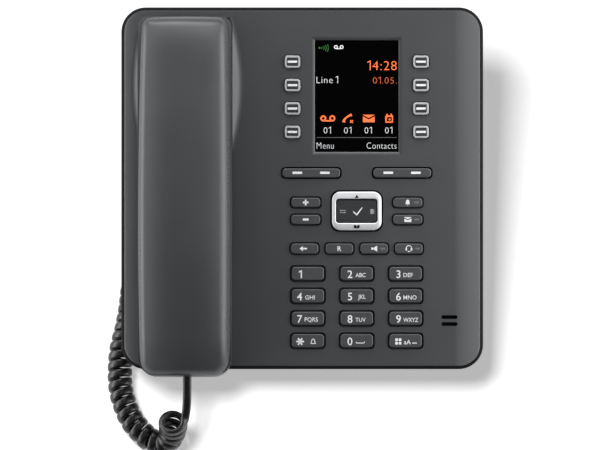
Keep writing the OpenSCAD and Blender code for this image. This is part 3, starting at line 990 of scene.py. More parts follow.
@dataclass(frozen=True)
class HandsetBack:
    """The handset's back: a long shell, arched along its length and crowned across.

    The height over the face is arch(v) + crown(u) - end(v), less the drop of the rounded edge.
    """

    centre: tuple[float, float] = (-61.7, -4.6)
    length: float = 190.6
    widths: tuple[float, float, float] = (46.6, 49.3, 48.2)
    top_r: float = 5.3
    bottom_r: float = 9.0
    top: float = 22.0
    arch_r: float = 504.0
    crown_r: float = 52.0
    edge: float = 4.8
    uneven: float = 0.3
    end_from: float = 76.0
    end_r: float = 60.0
    low_end_from: float = 74.0
    split: float = 9.0

    def half_width(self, v: Array) -> Array:
        """Half the width at v: a parabola through the widths at the bottom, middle and top."""
        t = v / (self.length / 2)
        high, mid, low = self.widths
        return (mid + (high - low) / 2 * t + ((high + low) / 2 - mid) * t * t) / 2

    def height(self, u: Array, v: Array) -> Array:
        """Level of the crowned back: top - v^2 / 2R - (Rc - sqrt(Rc^2 - u^2)) - end rounding."""
        arch = self.top - v * v / (2 * self.arch_r)
        crown = self.crown_r - np.sqrt(self.crown_r ** 2 - u * u)
        past = np.clip(v - self.end_from, 0, None) + np.clip(-v - self.low_end_from, 0, None)
        return arch - crown - past ** 2 / (2 * self.end_r)

    def rings(self) -> tuple[Array, Array]:
        """The rings of the shell, from the split up its side, over the edge and in to the ridge.

        Returns:
            Points of shape (rings, around, 3), and each ring's edge wear.
        """
        outline = Outline.rounded((self.widths[1], self.length), self.top_r, 12, 60, 14, self.bottom_r)
        a = np.linspace(0, math.pi / 2, 9)
        insets = np.concatenate([[0, 0], self.edge * (1 - np.cos(a))])
        drops = np.concatenate([[0, 0], self.edge * (1 - np.sin(a))])
        drops[:2] = [np.nan, self.edge]
        share = 1 + self.uneven * outline.normal[:, :1]
        flat = np.stack([outline.inset(d * share) for d in insets])
        shrink = np.concatenate([np.linspace(0.985, 0.9, 5), np.linspace(0.86, 0.04, 26)])
        flat = np.concatenate([flat, flat[-1] * shrink[:, None, None]])
        drops = np.concatenate([drops, np.zeros(len(shrink))])
        taper = self.half_width(flat[..., 1]) / (self.widths[1] / 2)
        flat[..., 0] *= taper
        level = self.height(flat[..., 0], flat[..., 1]) - drops[:, None] * share[:, 0]
        rim = self.top - flat[0, :, 1] ** 2 / (2 * self.arch_r) - self.split
        level[0] = np.minimum(rim, level[1] - 0.1)
        rings = np.concatenate([flat, level[..., None]], -1)
        wear = np.zeros(len(rings))
        wear[2:11] = np.sin(a * 2) ** 2
        return rings, wear

    def surface(self) -> Surface:
        """The outer skin, in face millimetres, closed by a lid inside the split."""
        rings, wear = self.rings()
        return stacked(rings, wear).moved(*self.centre)


@dataclass
class Handset:
    """The handset's two shells and what is inside."""

    back: HandsetBack = field(default_factory=HandsetBack)

    def build(self) -> None:
        """Builds the back, and rounds and dresses the rest."""
        piece = on_face("handset_back", self.back.surface(), Look.HANDSET, "handset", 50)
        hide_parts("handset_back_shell")
        softened("handset_front_shell", "handset_front", Look.DARK, 0.5)
        for node, look in {
            "handset_receiver": Look.WELL, "handset_microphone": Look.WELL, "handset_weight": Look.STEEL,
            "handset_screws": Look.STEEL, "cord_handset_plug": Look.CLEAR,
        }.items():
            repaint(node, look)


# ---------------------------------------------------------------- keys


INK_LOW, INK_HIGH = -0.02, 0.035


class Icons:
    """Generic marks, each centred on the origin and lying between two levels."""

    @staticmethod
    def bar(width: float, height: float) -> Surface:
        """A bar."""
        return prism(Outline.rounded((width, height), min(width, height) * 0.2, 3).inset(0), INK_LOW, INK_HIGH)

    @classmethod
    def plus(cls) -> Surface:
        """A plus sign."""
        return cls.bar(3.1, 0.95) + cls.bar(0.95, 3.1)

    @staticmethod
    def bell(size: float = 3.3) -> Surface:
        """A bell: a bowed body on a brim, with a clapper."""
        t = np.linspace(0, 1, 12)
        side = np.column_stack([0.04 + 0.27 * np.sqrt(1 - (1 - t) ** 2) + 0.07 * t ** 6, 0.47 - 0.74 * t])
        body = np.vstack([side * [1, 1], side[::-1] * [-1, 1]])[::-1] * size
        clapper = circle((0, -0.36 * size), 0.11 * size, 180, 360, 8)
        return prism(body, INK_LOW, INK_HIGH) + prism(clapper, INK_LOW, INK_HIGH)

    @staticmethod
    def bell_line(size: float = 3.2) -> Surface:
        """A bell in outline."""
        t = np.linspace(0, 1, 12)
        side = np.column_stack([0.03 + 0.27 * np.sqrt(1 - (1 - t) ** 2) + 0.1 * t ** 6, 0.45 - 0.75 * t]) * size
        path = np.vstack([side[::-1] * [-1, 1], side])
        return joined([
            stroke(path, 0.42, INK_LOW, INK_HIGH),
            stroke(np.array([[-0.42, -0.3], [0, -0.3], [0.42, -0.3]]) * size, 0.42, INK_LOW, INK_HIGH),
        ])

    @staticmethod
    def envelope(width: float = 3.7, height: float = 2.6) -> Surface:
        """An envelope: two panels parted by its flap's line."""
        w, h = width / 2, height / 2
        g = 0.055 * width
        low = np.array([[-w, -h], [w, -h], [w, h - 0.55 - g], [0, -0.2 - g], [-w, h - 0.55 - g]])
        high = np.array([[w, h], [-w, h], [-w, h - 0.4 + g], [0, -0.05 + g], [w, h - 0.4 + g]])
        return prism(low, INK_LOW, INK_HIGH) + prism(high, INK_LOW, INK_HIGH)

    @staticmethod
    def arrow_left(length: float = 4.0) -> Surface:
        """An arrow that points left."""
        l = length / 2
        neck = 1.9 - l
        shape = np.array([[-l, 0], [neck, -1.35], [neck, -0.4], [l, -0.4], [l, 0.4], [neck, 0.4], [neck, 1.35]])
        return prism(shape, INK_LOW, INK_HIGH)

    @staticmethod
    def loudspeaker() -> Surface:
        """A loudspeaker: a box and a cone."""
        cone = np.array([[-0.45, -0.5], [1.1, -1.45], [1.45, -1.45], [1.45, 1.45], [1.1, 1.45], [-0.45, 0.5]])
        return Icons.bar(1.1, 1.15).moved(-1.15) + prism(cone, INK_LOW, INK_HIGH)

    @staticmethod
    def headset() -> Surface:
        """A headset: a band, two ear pads and a microphone."""
        band = stroke(circle((0, 0.1), 1.4, -15, 195, 18), 0.4, INK_LOW, INK_HIGH)
        pads = Icons.bar(0.85, 1.3).moved(-1.4, -0.45) + Icons.bar(0.85, 1.3).moved(1.4, -0.45)
        boom = stroke(circle((0.2, -0.5), 1.15, -90, -10, 8), 0.3, INK_LOW, INK_HIGH)
        return band + pads + boom + Icons.bar(0.9, 0.5).moved(-0.1, -1.65)

    @staticmethod
    def asterisk(r: float = 2.05) -> Surface:
        """A six-armed star."""
        spokes = [stroke(np.array([[-1, 0], [0, 0], [1, 0]]) * r @ turn(a), 0.82, INK_LOW, INK_HIGH)
                  for a in (0, 60, 120)]
        return joined(spokes)

    @staticmethod
    def grid_mark(size: float = 3.5) -> Surface:
        """The hash key's mark: a two by two grid."""
        q = size / 4 + 0.06
        dot = Icons.bar(size / 2 - 0.3, size / 2 - 0.3)
        return joined([dot.moved(x * q, y * q) for x in (-1, 1) for y in (-1, 1)])

    @staticmethod
    def space_mark(width: float = 4.3) -> Surface:
        """A space mark: a line with its ends turned up."""
        w = width / 2
        path = np.array([[-w, 0.75], [-w, 0.2], [-w + 0.3, 0], [0, 0], [w - 0.3, 0], [w, 0.2], [w, 0.75]])
        return stroke(path, 0.42, INK_LOW, INK_HIGH)

    @staticmethod
    def tick(width: float = 4.7) -> Surface:
        """A tick."""
        path = np.array([[-0.5, -0.02], [-0.32, -0.2], [-0.12, -0.4], [0.19, 0.0], [0.5, 0.42]]) * width
        return stroke(path, np.array([0.42, 0.62, 0.8, 0.66, 0.4]), INK_LOW, INK_HIGH)

    @staticmethod
    def two_way() -> Surface:
        """Two opposed arrows, for calls between two sets."""
        half = np.array([[-1.7, 0.0], [-0.9, 0.55], [-0.9, 0.18], [1.5, 0.18]])
        head = np.vstack([half[:1], half[1:] * [1, -1], half[:0:-1]])
        return prism(head + [0, 0.55], INK_LOW, INK_HIGH) + prism(-head - [0, 0.55], INK_LOW, INK_HIGH)

    @staticmethod
    def book() -> Surface:
        """A small address book with index tabs."""
        return joined([Icons.bar(1.6, 2.6)] + [Icons.bar(0.5, 0.42).moved(1.05, y) for y in (-0.8, 0, 0.8)])

    @staticmethod
    def triangle(size: float = 1.7) -> Surface:
        """A triangle that points up."""
        return prism(np.array([[-0.5, -0.42], [0.5, -0.42], [0, 0.5]]) * size, INK_LOW, INK_HIGH)

    @staticmethod
    def open_book() -> Surface:
        """Two small pages side by side."""
        page = np.array([[0.15, -0.95], [1.45, -0.6], [1.45, 0.95], [0.15, 0.62]])
        mirrored = (page * [-1, 1])[::-1]
        return prism(page, INK_LOW, INK_HIGH) + prism(mirrored, INK_LOW, INK_HIGH)


def turn(degrees: float) -> Array:
    """A flat turn, for points in rows."""
    a = math.radians(degrees)
    return np.array([[math.cos(a), math.sin(a)], [-math.sin(a), math.cos(a)]])


def letters(text: str, height: float, spacing: float = 1.0, bold: float = 0.02) -> Surface:
    """Printed figures between the ink levels."""
    return lettering(text, height, INK_LOW, INK_HIGH, spacing, bold)


@dataclass(frozen=True)
class Mark:
    """A printed mark at a place on a cap, relative to the cap's centre."""

    shape: Surface
    at: tuple[float, float] = (0.0, 0.0)
    look: Look = Look.WHITE_INK


@dataclass(frozen=True)
class Cap:
    """One key: the CAD node it stands for, its place, its size and its marks."""

    node: str
    at: tuple[float, float]
    size: tuple[float, float]
    marks: tuple[Mark, ...] = ()
    r: float = 2.0
    top: float = 1.2
    edge: float = 0.45
    slim: float = 0.26
    lap: float = 0.7
    flange: float = -2.6

    def body(self) -> str:
        """The CAD body that carries the node."""
        return frame["nodes"][self.node]["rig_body"]

    def shell(self) -> Surface:
        """The cap with its flange, which laps under the shell, and its top edge rounded by edge."""
        stations = [(-self.lap, -4.0), (-self.lap, self.flange)]
        stations += [(self.slim, self.flange + 0.02), (self.slim, self.top - self.edge)]
        stations += [(self.slim + inset, level) for inset, level in fillet(self.edge, self.top, 5)]
        wear = [0, 0, 0, 0.1, 0.3, 0.8, 1, 1, 0.7, 0.2]
        return pillow(Outline.rounded(self.size, self.r, 7), stations, (0.9, 0.6, 0.3), wear)

    def build(self) -> None:
        """Makes the cap and its marks."""
        piece = on_face(self.node + "_cap", self.shell().moved(*self.at), Look.KEYS, self.body())
        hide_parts(self.node)
        self.print_marks()

    def print_marks(self) -> None:
        """Lays each mark's ink on the cap."""
        for i, mark in enumerate(self.marks):
            place = mark.shape.moved(self.at[0] + mark.at[0], self.at[1] + mark.at[1], self.top)
            on_face(f"{self.node}_mark_{i + 1}", place, mark.look, self.body())


@dataclass(frozen=True)
class LineKey(Cap):
    """A line key: a pale frame round a dark cap with a white bar."""

    r: float = 1.6
    frame_w: float = 1.0

    def build(self) -> None:
        """Makes the frame, the sunk cap and the bar."""
        body = self.body()
        edge = 0.3
        outer = [(-self.lap, -4.0), (-self.lap, self.flange), (0, self.flange + 0.02), (0, self.top - edge)]
        outer += fillet(edge, self.top, 4)
        inner = [(self.frame_w, self.top), (self.frame_w + 0.05, self.top - 0.5)]
        wear = [0, 0, 0, 0.2, 0.6, 1, 1, 0.6, 0.2]
        ring = pillow(Outline.rounded(self.size, self.r, 6), outer + inner, (0.8, 0.4), wear)
        piece = on_face(self.node + "_frame", ring.moved(*self.at), Look.LIGHT_RING, body)
        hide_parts(self.node)
        inside = (self.size[0] - 2 * self.frame_w - 0.1, self.size[1] - 2 * self.frame_w - 0.1)
        cap = block(inside, self.r - 0.9, self.top - 0.6, self.top - 0.2, 0.5, 5)
        on_face(self.node + "_cap", cap.moved(*self.at), Look.OK_KEY, body)
        bar = Icons.bar(5.1, 1.15).moved(*self.at, self.top - 0.2)
        on_face(self.node + "_bar", bar, Look.WHITE_INK, body)


@dataclass
class Keypad:
    """Every key of the face but the four-way one."""

    digit_pitch: tuple[float, float] = (25.9, 11.87)
    digit_top_v: float = -45.2
    digit_size: tuple[float, float] = (17.5, 7.4)

    def digits(self) -> list[Cap]:
        """The twelve number keys.

        Returns:
            The caps, with a figure at the left and letters at the right.
        """
        pitch_u, pitch_v = self.digit_pitch
        groups = ("", "ABC", "DEF", "GHI", "JKL", "MNO", "PQRS", "TUV", "WXYZ")
        figure_at = (-4.0, -3.6, -3.8, -4.4, -3.6, -3.8, -4.3, -3.6, -3.8)
        letters_at = (0, 2.0, 1.3, 1.1, 2.7, 2.3, 1.8, 2.0, 2.7)
        letters_w = (0, 5.4, 5.0, 5.1, 4.0, 7.0, 7.0, 5.4, 7.9)
        marks: list[tuple[str, tuple[Mark, ...]]] = []
        for i, group in enumerate(groups):
            printed = [Mark(letters(str(i + 1), 4.2, bold=0.05), (figure_at[i], -0.35))]
            if group:
                word = letters(group, 2.3)
                share = letters_w[i] / np.ptp(word.points[:, 0])
                word = Surface(word.points * [share, 1, 1], word.faces)
                printed.append(Mark(word, (letters_at[i], -0.8)))
            marks.append((f"key_{i + 1}", tuple(printed)))
        marks += [
            ("key_star", (Mark(Icons.asterisk(), (-4.1, -0.4)), Mark(Icons.bell_line(), (2.8, -0.5)))),
            ("key_0", (Mark(letters("0", 4.2, bold=0.05), (-3.6, -0.35)),
                       Mark(Icons.space_mark(), (1.9, -1.2)))),
            ("key_hash", (Mark(Icons.grid_mark(), (-3.9, -0.35)), Mark(letters("aA", 2.5), (0.9, -0.7)),
                          Mark(Icons.bar(2.4, 0.5), (4.7, -1.2)))),
        ]
        return [
            Cap(node, (PANEL_U + (i % 3 - 1) * pitch_u, self.digit_top_v - i // 3 * pitch_v),
                self.digit_size, printed)
            for i, (node, printed) in enumerate(marks)
        ]

    def functions(self) -> list[Cap]:
        """The row of four function keys."""
        lamp = Mark(Icons.bar(2.5, 0.9), (4.6, 0), Look.LED_OFF)
        marks = {
            "back_key": (Mark(Icons.arrow_left(), (-0.8, 0)),),
            "recall_key": (Mark(letters("R", 2.6, bold=0.05)),),
            "speaker_key": (Mark(Icons.loudspeaker(), (0.2, 0)), lamp),
            "headset_key": (Mark(Icons.headset(), (0, 0.1)), lamp),
        }
        return [Cap(node, (PANEL_U + (i - 1.5) * 18.4, -32), (15, 5.8), printed, top=1.2)
                for i, (node, printed) in enumerate(marks.items())]

    def sides(self) -> list[Cap]:
        """The volume keys at the left, and the ringer and message keys at the right."""
        lamp = Mark(Icons.bar(2.5, 0.9), (4.6, 0), Look.LED_OFF)
        marks = (
            ("volume_up_key", -1, -7.55, (Mark(Icons.plus()),)),
            ("volume_down_key", -1, -16.6, (Mark(Icons.bar(3.1, 1.15)),)),
            ("ringer_key", 1, -7.55, (Mark(Icons.bell(), (-0.1, 0)), lamp)),
            ("message_key", 1, -16.6, (Mark(Icons.envelope()), lamp)),
        )
        return [Cap(node, (PANEL_U + side * 27.05, v), (15.8, 5.4), printed)
                for node, side, v, printed in marks]

    def soft_keys(self) -> list[Cap]:
        """The two rockers under the display, with no flange, so that they can tilt."""
        bar = Icons.bar(5.1, 1.25)
        marks = (Mark(bar, (-7.4, 0.06)), Mark(bar, (7.2, 0.06)))
        return [Cap("softkey_" + side, (PANEL_U + sign * 24.1, 8.1), (31, 5.2), marks, 2.0, 1.0, lap=0.0)
                for side, sign in (("left", -1), ("right", 1))]

    def line_keys(self) -> list[LineKey]:
        """The four line keys at either side of the display."""
        return [LineKey(f"line_key_{side}_{i + 1}", (PANEL_U + sign * 34.05, 67 - 12.4 * i), (8.2, 6.5))
                for side, sign in (("left", -1), ("right", 1)) for i in range(4)]

    def build(self) -> None:
        """Makes every key."""
        for cap in self.digits() + self.functions() + self.sides() + self.soft_keys() + self.line_keys():
            cap.build()


# ---------------------------------------------------------------- four-way key


@dataclass
class FourWayKey:
    """The silver ring, with the dark key in its middle."""

    at: tuple[float, float] = (PANEL_U, NAV_V)
    size: tuple[float, float] = (26.3, 20.5)
    opening: tuple[float, float] = (22.1, 12.8)
    r: float = 4.5
    top: float = 2.2
    foot: float = -2.7
    ok_size: tuple[float, float] = (20.9, 11.6)
    ok_top: float = 1.4

    def ring(self) -> Surface:
        """The ring: a rounded rim that is carried round from the outer outline to the opening.

        Returns:
            A closed band; at step t its outline is outer + (inner - outer) * share(t).
        """
        outer = Outline.rounded(self.size, self.r, 10, 8, 8)
        inner = Outline.rounded(self.opening, 1.6, 10, 8, 8)
        a = np.linspace(0, math.pi / 2, 6)
        e, f = 0.9, 0.5
        out_rings = [outer.inset(0)] + [outer.inset(e * (1 - math.cos(t))) for t in a]
        out_level = [self.foot] + [self.top - 0.35 - e * (1 - math.sin(t)) for t in a]
        in_rings = [inner.inset(-f * (1 - math.cos(t))) for t in a[::-1]] + [inner.inset(0)]
        in_level = [self.top - f * (1 - math.sin(t)) for t in a[::-1]] + [self.foot]
        mid = [(out_rings[-1] + in_rings[0]) / 2]
        flat = np.stack(out_rings + mid + in_rings)
        level = np.array(out_level + [self.top - 0.08] + in_level)
        wear = np.array([0, 0.2, 0.6, 1, 1, 0.8, 0.3, 0, 0.3, 0.6, 0.8, 0.8, 0.5, 0.2, 0])[:len(level)]
        n, around = flat.shape[:2]
        levels = np.broadcast_to(level[:, None, None], (n, around, 1))
        points = np.concatenate([flat, levels], -1).reshape(-1, 3)
        faces = np.vstack([ring_faces(n, around), ring_faces(2, around)])
        last = faces[-around:]
        faces[-around:] = np.where(last >= around, last - around, last + (n - 1) * around)
        return Surface(points, [tuple(f) for f in faces.tolist()], np.repeat(wear, around))

    def build(self) -> None:
        """Makes the ring, the centre key and their marks."""
        ring_body = frame["nodes"]["nav_ring"]["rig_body"]
        ok_body = frame["nodes"]["nav_ok_key"]["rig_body"]
        u, v = self.at
        ring = on_face("four_way_ring", self.ring().moved(u, v), Look.RING, ring_body, 50)
        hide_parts("nav_ring")
        for name, mark, dv in (("up", Icons.triangle(1.9), 7.7), ("down", Icons.open_book(), -8.35)):
            on_face("ring_mark_" + name, mark.moved(u, v + dv, self.top + 0.02), Look.WELL, ring_body)
        plate = block(self.ok_size, 1.2, -1.8, self.ok_top, 0.5)
        key = on_face("ok_key", plate.moved(u, v), Look.OK_KEY, ok_body)
        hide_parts("nav_ok_key")
        for name, mark, du, dv, look in (
            ("tick", Icons.tick(), 0.5, -0.2, Look.WHITE_INK),
            ("calls", Icons.two_way(), -7.4, -0.3, Look.GREY_INK),
            ("book", Icons.book(), 8.0, -0.3, Look.GREY_INK),
        ):
            on_face("ok_mark_" + name, mark.moved(u + du, v + dv, self.ok_top), look, ok_body)


# ---------------------------------------------------------------- display


@dataclass
class Display:
    """The dark pane, with the lit figures on it."""

    pane_top: float = -1.35

    def lit(self, name: str, shape: Surface, u: float, v: float, look: Look) -> None:
        """Lays a lit shape on the pane, centred at (u, v)."""
        on_face("screen_" + name, shape.moved(u, v, self.pane_top), look, "base")

    def word(self, text: str, height: float, left: float | None = None, right: float | None = None,
             width: float | None = None) -> tuple[Surface, float]:
        """A word set against a left or a right margin.

        Args:
            text: the word.
            height: capital height in millimetres.
            left: place of its left edge, or None.
            right: place of its right edge, used when left is None.
            width: the width to fit, or None for the font's own.

        Returns:
            The word and the place of its centre.
        """
        word = letters(text, height, 1.1, -0.085)
        if width:
            word = Surface(word.points * [width / np.ptp(word.points[:, 0]), 1, 1], word.faces)
        half = np.ptp(word.points[:, 0]) / 2
        return word, (left + half if left is not None else right - half)

    def signal(self) -> Surface:
        """Radio waves from a dot."""
        arcs = [circle((-2.4, 0), r, -26, 26, 10) for r in (1.3, 2.4, 3.5, 4.6)]
        waves = [stroke(arc, 0.28, INK_LOW, INK_HIGH) for arc in arcs]
        return joined(waves + [Icons.bar(0.8, 0.8).moved(-2.4)])

    def reels(self, size: float) -> Surface:
        """A tape: two reels on a line."""
        r = size * 0.17
        rims = [circle((side * size * 0.33, 0.05), r, 0, 360, 16) for side in (-1, 1)]
        reel = [stroke(rim, size * 0.12, INK_LOW, INK_HIGH) for rim in rims]
        return joined(reel + [Icons.bar(size * 0.66, size * 0.11).moved(0, -r)])

    def missed_call(self) -> Surface:
        """A receiver with a small cross."""
        a = np.linspace(0, 1, 14)
        bow = np.column_stack([-2.4 + 4.2 * a ** 1.25, -2.1 + 4.1 * a ** 0.5])
        width = 0.85 + 0.75 * np.abs(2 * a - 1) ** 3
        line = np.array([[-1.0, 0], [0, 0], [1, 0]])
        cross = [stroke(line @ turn(t), 0.55, INK_LOW, INK_HIGH).moved(1.7, -1.6)
                 for t in (45, -45)]
        return joined([stroke(bow, width, INK_LOW, INK_HIGH)] + cross)

    def calendar(self) -> Surface:
        """A calendar sheet with two rings and a square in its middle."""
        sheet = np.array([[-1.7, 1.2], [-1.7, -1.9], [1.7, -1.9], [1.7, 1.2], [-1.7, 1.2]])
        rings = [Icons.bar(0.7, 1.2).moved(x, 1.9) for x in (-1.1, 1.1)]
        square = Icons.bar(1.0, 0.9).moved(0.2, -0.5)
        return joined([stroke(sheet, 0.95, INK_LOW, INK_HIGH), square] + rings)

    def build(self) -> None:
        """Makes the pane and the figures."""
        repaint("lcd_window", Look.PANE)
        self.lit("signal", self.signal(), 11.6, 74.4, Look.LIT_GREEN)
        self.lit("tape", self.reels(4.6), 19.4, 74.8, Look.LIT_WHITE)
        for name, text, height, margin, v, width, look in (
            ("clock", "14:28", 5.2, ("right", 50.1), 65.2, 15.6, Look.LIT_ORANGE),
            ("date", "01.05.", 3.6, ("right", 50.1), 57.3, 12.6, Look.LIT_AMBER),
            ("line", "Line 1", 3.8, ("left", 7.6), 57.6, 11.4, Look.LIT_WHITE),
            ("menu", "Menu", 3.6, ("left", 7.7), 22.6, 9.0, Look.LIT_WHITE),
            ("names", "Contacts", 3.6, ("right", 50.0), 22.6, 15.8, Look.LIT_WHITE),
        ):
            word, u = self.word(text, height, **{margin[0]: margin[1]}, width=width)
            self.lit(name, word, u, v, look)
        icons = (self.reels(7.2), self.missed_call(), Icons.envelope(6.2, 4.0), self.calendar())
        for i, icon in enumerate(icons):
            u = 13.6 + 10.85 * i
            self.lit(f"icon_{i + 1}", icon, u, 37.0, Look.LIT_ORANGE)
            self.lit(f"count_{i + 1}", letters("01", 3.5, 1.15, -0.08), u - 0.3, 30.8, Look.LIT_WHITE)
        self.lit("rule", Icons.bar(42.5, 0.3), 28.9, 26.9, Look.LIT_GREY)


# ---------------------------------------------------------------- cord


def curve_through(points: Array, per_span: int = 24) -> Array:
    """A smooth line through points (Catmull-Rom).

    Args:
        points: the points, with three numbers each.
        per_span: steps between neighbours.

    Returns:
        p = (2 p1 + (p2 - p0) t + (2 p0 - 5 p1 + 4 p2 - p3) t^2 + (3 p1 - p0 - 3 p2 + p3) t^3) / 2.
    """
    p = np.vstack([2 * points[0] - points[1], points, 2 * points[-1] - points[-2]])
    t = np.linspace(0, 1, per_span, endpoint=False)[:, None]
    p0, p1, p2, p3 = (p[i:len(p) - 3 + i, None] for i in range(4))
    line = (2 * p1 + (p2 - p0) * t + (2 * p0 - 5 * p1 + 4 * p2 - p3) * t ** 2
            + (3 * p1 - p0 - 3 * p2 + p3) * t ** 3) / 2
    return np.vstack([line.reshape(-1, 3), points[-1:]])


def lengths(line: Array) -> Array:
    """Distance along a line to each of its points."""
    return np.concatenate([[0], np.cumsum(np.linalg.norm(np.diff(line, axis=0), axis=1))])


def evenly(line: Array, step: float) -> Array:
    """The line's points set about step apart."""
    s = lengths(line)
    want = np.linspace(0, s[-1], max(int(round(s[-1] / step)), 2) + 1)
    return np.stack([np.interp(want, s, line[:, k]) for k in range(3)], 1)


def unit(rows: Array) -> Array:
    """Each row brought to length one."""
    return rows / np.linalg.norm(rows, axis=-1, keepdims=True)


def smooth(x: Array, span: float) -> Array:
    """0 up to x = 0 and 1 from x = span, by 3 t^2 - 2 t^3 between."""
    t = np.clip(x / span, 0, 1)
    return t * t * (3 - 2 * t)


def averaged(rows: Array, spread: float) -> Array:
    """Rows averaged with their neighbours by a bell curve of so many rows' spread."""
    reach = math.ceil(2.5 * spread)
    kernel = np.exp(-0.5 * (np.arange(-reach, reach + 1) / spread) ** 2)
    padded = np.pad(rows, ((reach, reach), (0, 0)), "edge")
    return np.stack([np.convolve(padded[:, k], kernel / kernel.sum(), "valid") for k in range(3)], 1)


@dataclass
class CoiledCord:
    """The handset's cord: a straight lead, a coil that lies on the table, and a lead to the socket.

    Routes are in row-frame millimetres. The coil's wire runs round the route at coil_r, and one
    turn takes pitch along it. The wire is a flat cord: width along the coil's axis, thick across.
    """

    width: float = 4.5
    thick: float = 3.0
    around: int = 16
    coil_r: float = 5.2
    first_r: float = 6.2
    pitch: float = 5.3
    hidden_pitch: float = 4.8
    seen_length: float = 104.0
    close_length: float = 16.0
    cut_at: float = 36.0
    lead: tuple = ((-60.8, -96.0, 32.8), (-60.8, -101.4, 31.2), (-60.9, -107.4, 29.2), (-61.3, -112.9, 26.6))
    coil: tuple = (
        (-68.5, -118.4, 24), (-68.6, -120.6, 17.5), (-70, -124.6, 11.4), (-73.6, -127.5, 7.8),
        (-77.6, -127.1, 7), (-82.2, -124.6, 7), (-86.6, -120.4, 7), (-90.6, -115.5, 7), (-94.1, -108.4, 7),
        (-97.0, -98.9, 7), (-97.8, -87.9, 7), (-97.0, -75.9, 7), (-94.5, -64.9, 7), (-92.5, -53.4, 7),
        (-91, -40.4, 7), (-87, -27.4, 7), (-78, -16.4, 7), (-65, -9.4, 7), (-49, -6.4, 7),
        (-31, -6.4, 7), (-13, -6.4, 7), (5, -6.4, 7), (23, -6.4, 7),
    )
    base_lead: tuple = (
        (32, -3.9, 7.3), (38, 2.6, 9), (41.5, 9.6, 13.5), (43, 14.6, 20), (43.6, 17.6, 27),
        (44, 20.6, 34), (44, 25.2, 39.2), (44, 31.9, 41.5),
    )
    lead_side: tuple = (1.0, 0.0, 0.0)
    base_side: tuple = (1.0, -0.6, 0.0)

    def helix(self) -> tuple[Array, Array]:
        """The coil's wire.

        Returns:
            centre + r (cos a * right + sin a * across), and the coil's axis at each point; a grows
            by a full turn each pitch, and r starts at first_r, settles at coil_r and closes to
            nothing at the far end, where the pitch opens.
        """
        centre = evenly(curve_through(np.array(self.coil, float)), 0.18)
        s = lengths(centre)
        along = unit(np.gradient(centre, axis=0))
        blend = smooth(s - 4, 30)[:, None]
        hint = np.array([1.0, 0, 0]) * (1 - blend) + np.array([0, 0, 1.0]) * blend
        right = unit(hint - (hint * along).sum(1, keepdims=True) * along)
        across = np.cross(along, right)
        pitch = self.pitch + (self.hidden_pitch - self.pitch) * smooth(s - self.seen_length, 12)
        closing = smooth(s[-1] - s, self.close_length)
        pitch = pitch + 60 * (1 - closing) ** 2
        angle = np.concatenate([[0], np.cumsum(TAU * np.diff(s) / pitch[1:])])
        r = self.coil_r + (self.first_r - self.coil_r) * (1 - smooth(s - 4, 14))
        r = (r * closing)[:, None]
        return centre + r * (np.cos(angle)[:, None] * right + np.sin(angle)[:, None] * across), along

    def wire(self) -> tuple[Array, Array]:
        """The whole wire's centreline, in millimetres, with its joints eased.

        Returns:
            The line's points, and the direction of the cord's width at each, square to the line.
        """
        helix, axis = self.helix()
        lead = curve_through(np.vstack([self.lead, helix[:1]]))[:-1]
        far = curve_through(np.vstack([helix[-1:], self.base_lead]))[1:]
        rough = np.vstack([lead, helix, far])
        near = np.repeat(np.array([self.lead_side]), len(lead), 0)
        away = np.repeat(np.array([self.base_side]), len(far), 0)
        sides = np.vstack([near, axis, away])
        line = evenly(rough, 0.9)
        s = lengths(line)
        at = np.linspace(0, 1, len(line)) * lengths(rough)[-1]
        side = np.stack([np.interp(at, lengths(rough), sides[:, k]) for k in range(3)], 1)
        starts = lengths(lead)[-1], s[-1] - lengths(far)[-1]
        joints = np.exp(-((s - starts[0]) / 5) ** 2) + np.exp(-((s - starts[1]) / 8) ** 2)
        weight = np.clip(joints, 0, 1)[:, None]
        line = line * (1 - weight) + averaged(line, 2.4) * weight
        side = averaged(side, 3.0)
        along = unit(np.gradient(line, axis=0))
        return line, unit(side - (side * along).sum(1, keepdims=True) * along)

    def tube(self, name: str, line: Array, side: Array, body: str | None) -> bpy.types.Object:
        """A flat tube with round edges along a part of the wire.

        Args:
            name: the piece's name.
            line: its centreline, in millimetres.
            side: the direction of its width at each point.
            body: the CAD body it rides on, or None.

        Returns:
            The piece: line + width / 2 * c * side + thick / 2 * d * normal, where c and d are the
            cosine and sine of the turn, each raised to 0.7 with its sign kept.
        """
        along = unit(np.gradient(line, axis=0))
        normal = np.cross(along, side)
        a = np.arange(self.around) * TAU / self.around
        c, d = (np.sign(f) * np.abs(f) ** 0.7 for f in (np.cos(a), np.sin(a)))
        across, out = (self.width / 2 * c)[:, None], (self.thick / 2 * d)[:, None]
        rings = line[:, None] + across * side[:, None] + out * normal[:, None]
        tube = stacked(rings)
        return put(name, tube.points * MM, tube.faces, Look.CORD, body, smooth=70)

    def build(self) -> None:
        """Cuts the wire in two and builds a piece of each part."""
        line, side = self.wire()
        s = lengths(line)
        cut = int(np.searchsorted(s, self.cut_at))
        first, second = slice(0, cut + 1), slice(cut, None)
        lead, rest = line[first], line[second]
        lead_piece = self.tube("handset_lead", lead, side[first], None)
        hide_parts("cord_lead")
        tuple(lead[-1] * MM)
        tuple(lead[0] * MM)
        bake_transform(lead_piece)
        coil_piece = self.tube("coiled_cord", rest, side[second], "base")
        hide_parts("cord_coil", "cord_base_lead")
        LOG.info("cord: lead %.1f mm, coil and base lead %.1f mm", lengths(lead)[-1], lengths(rest)[-1])
        tuple(lead[0] * MM)
        self.width * MM
        [tuple(p) for p in lead * MM]
        tuple(rest[0] * MM)
        self.width * MM
        [tuple(p) for p in rest * MM]


# ---------------------------------------------------------------- camera, lights, floor


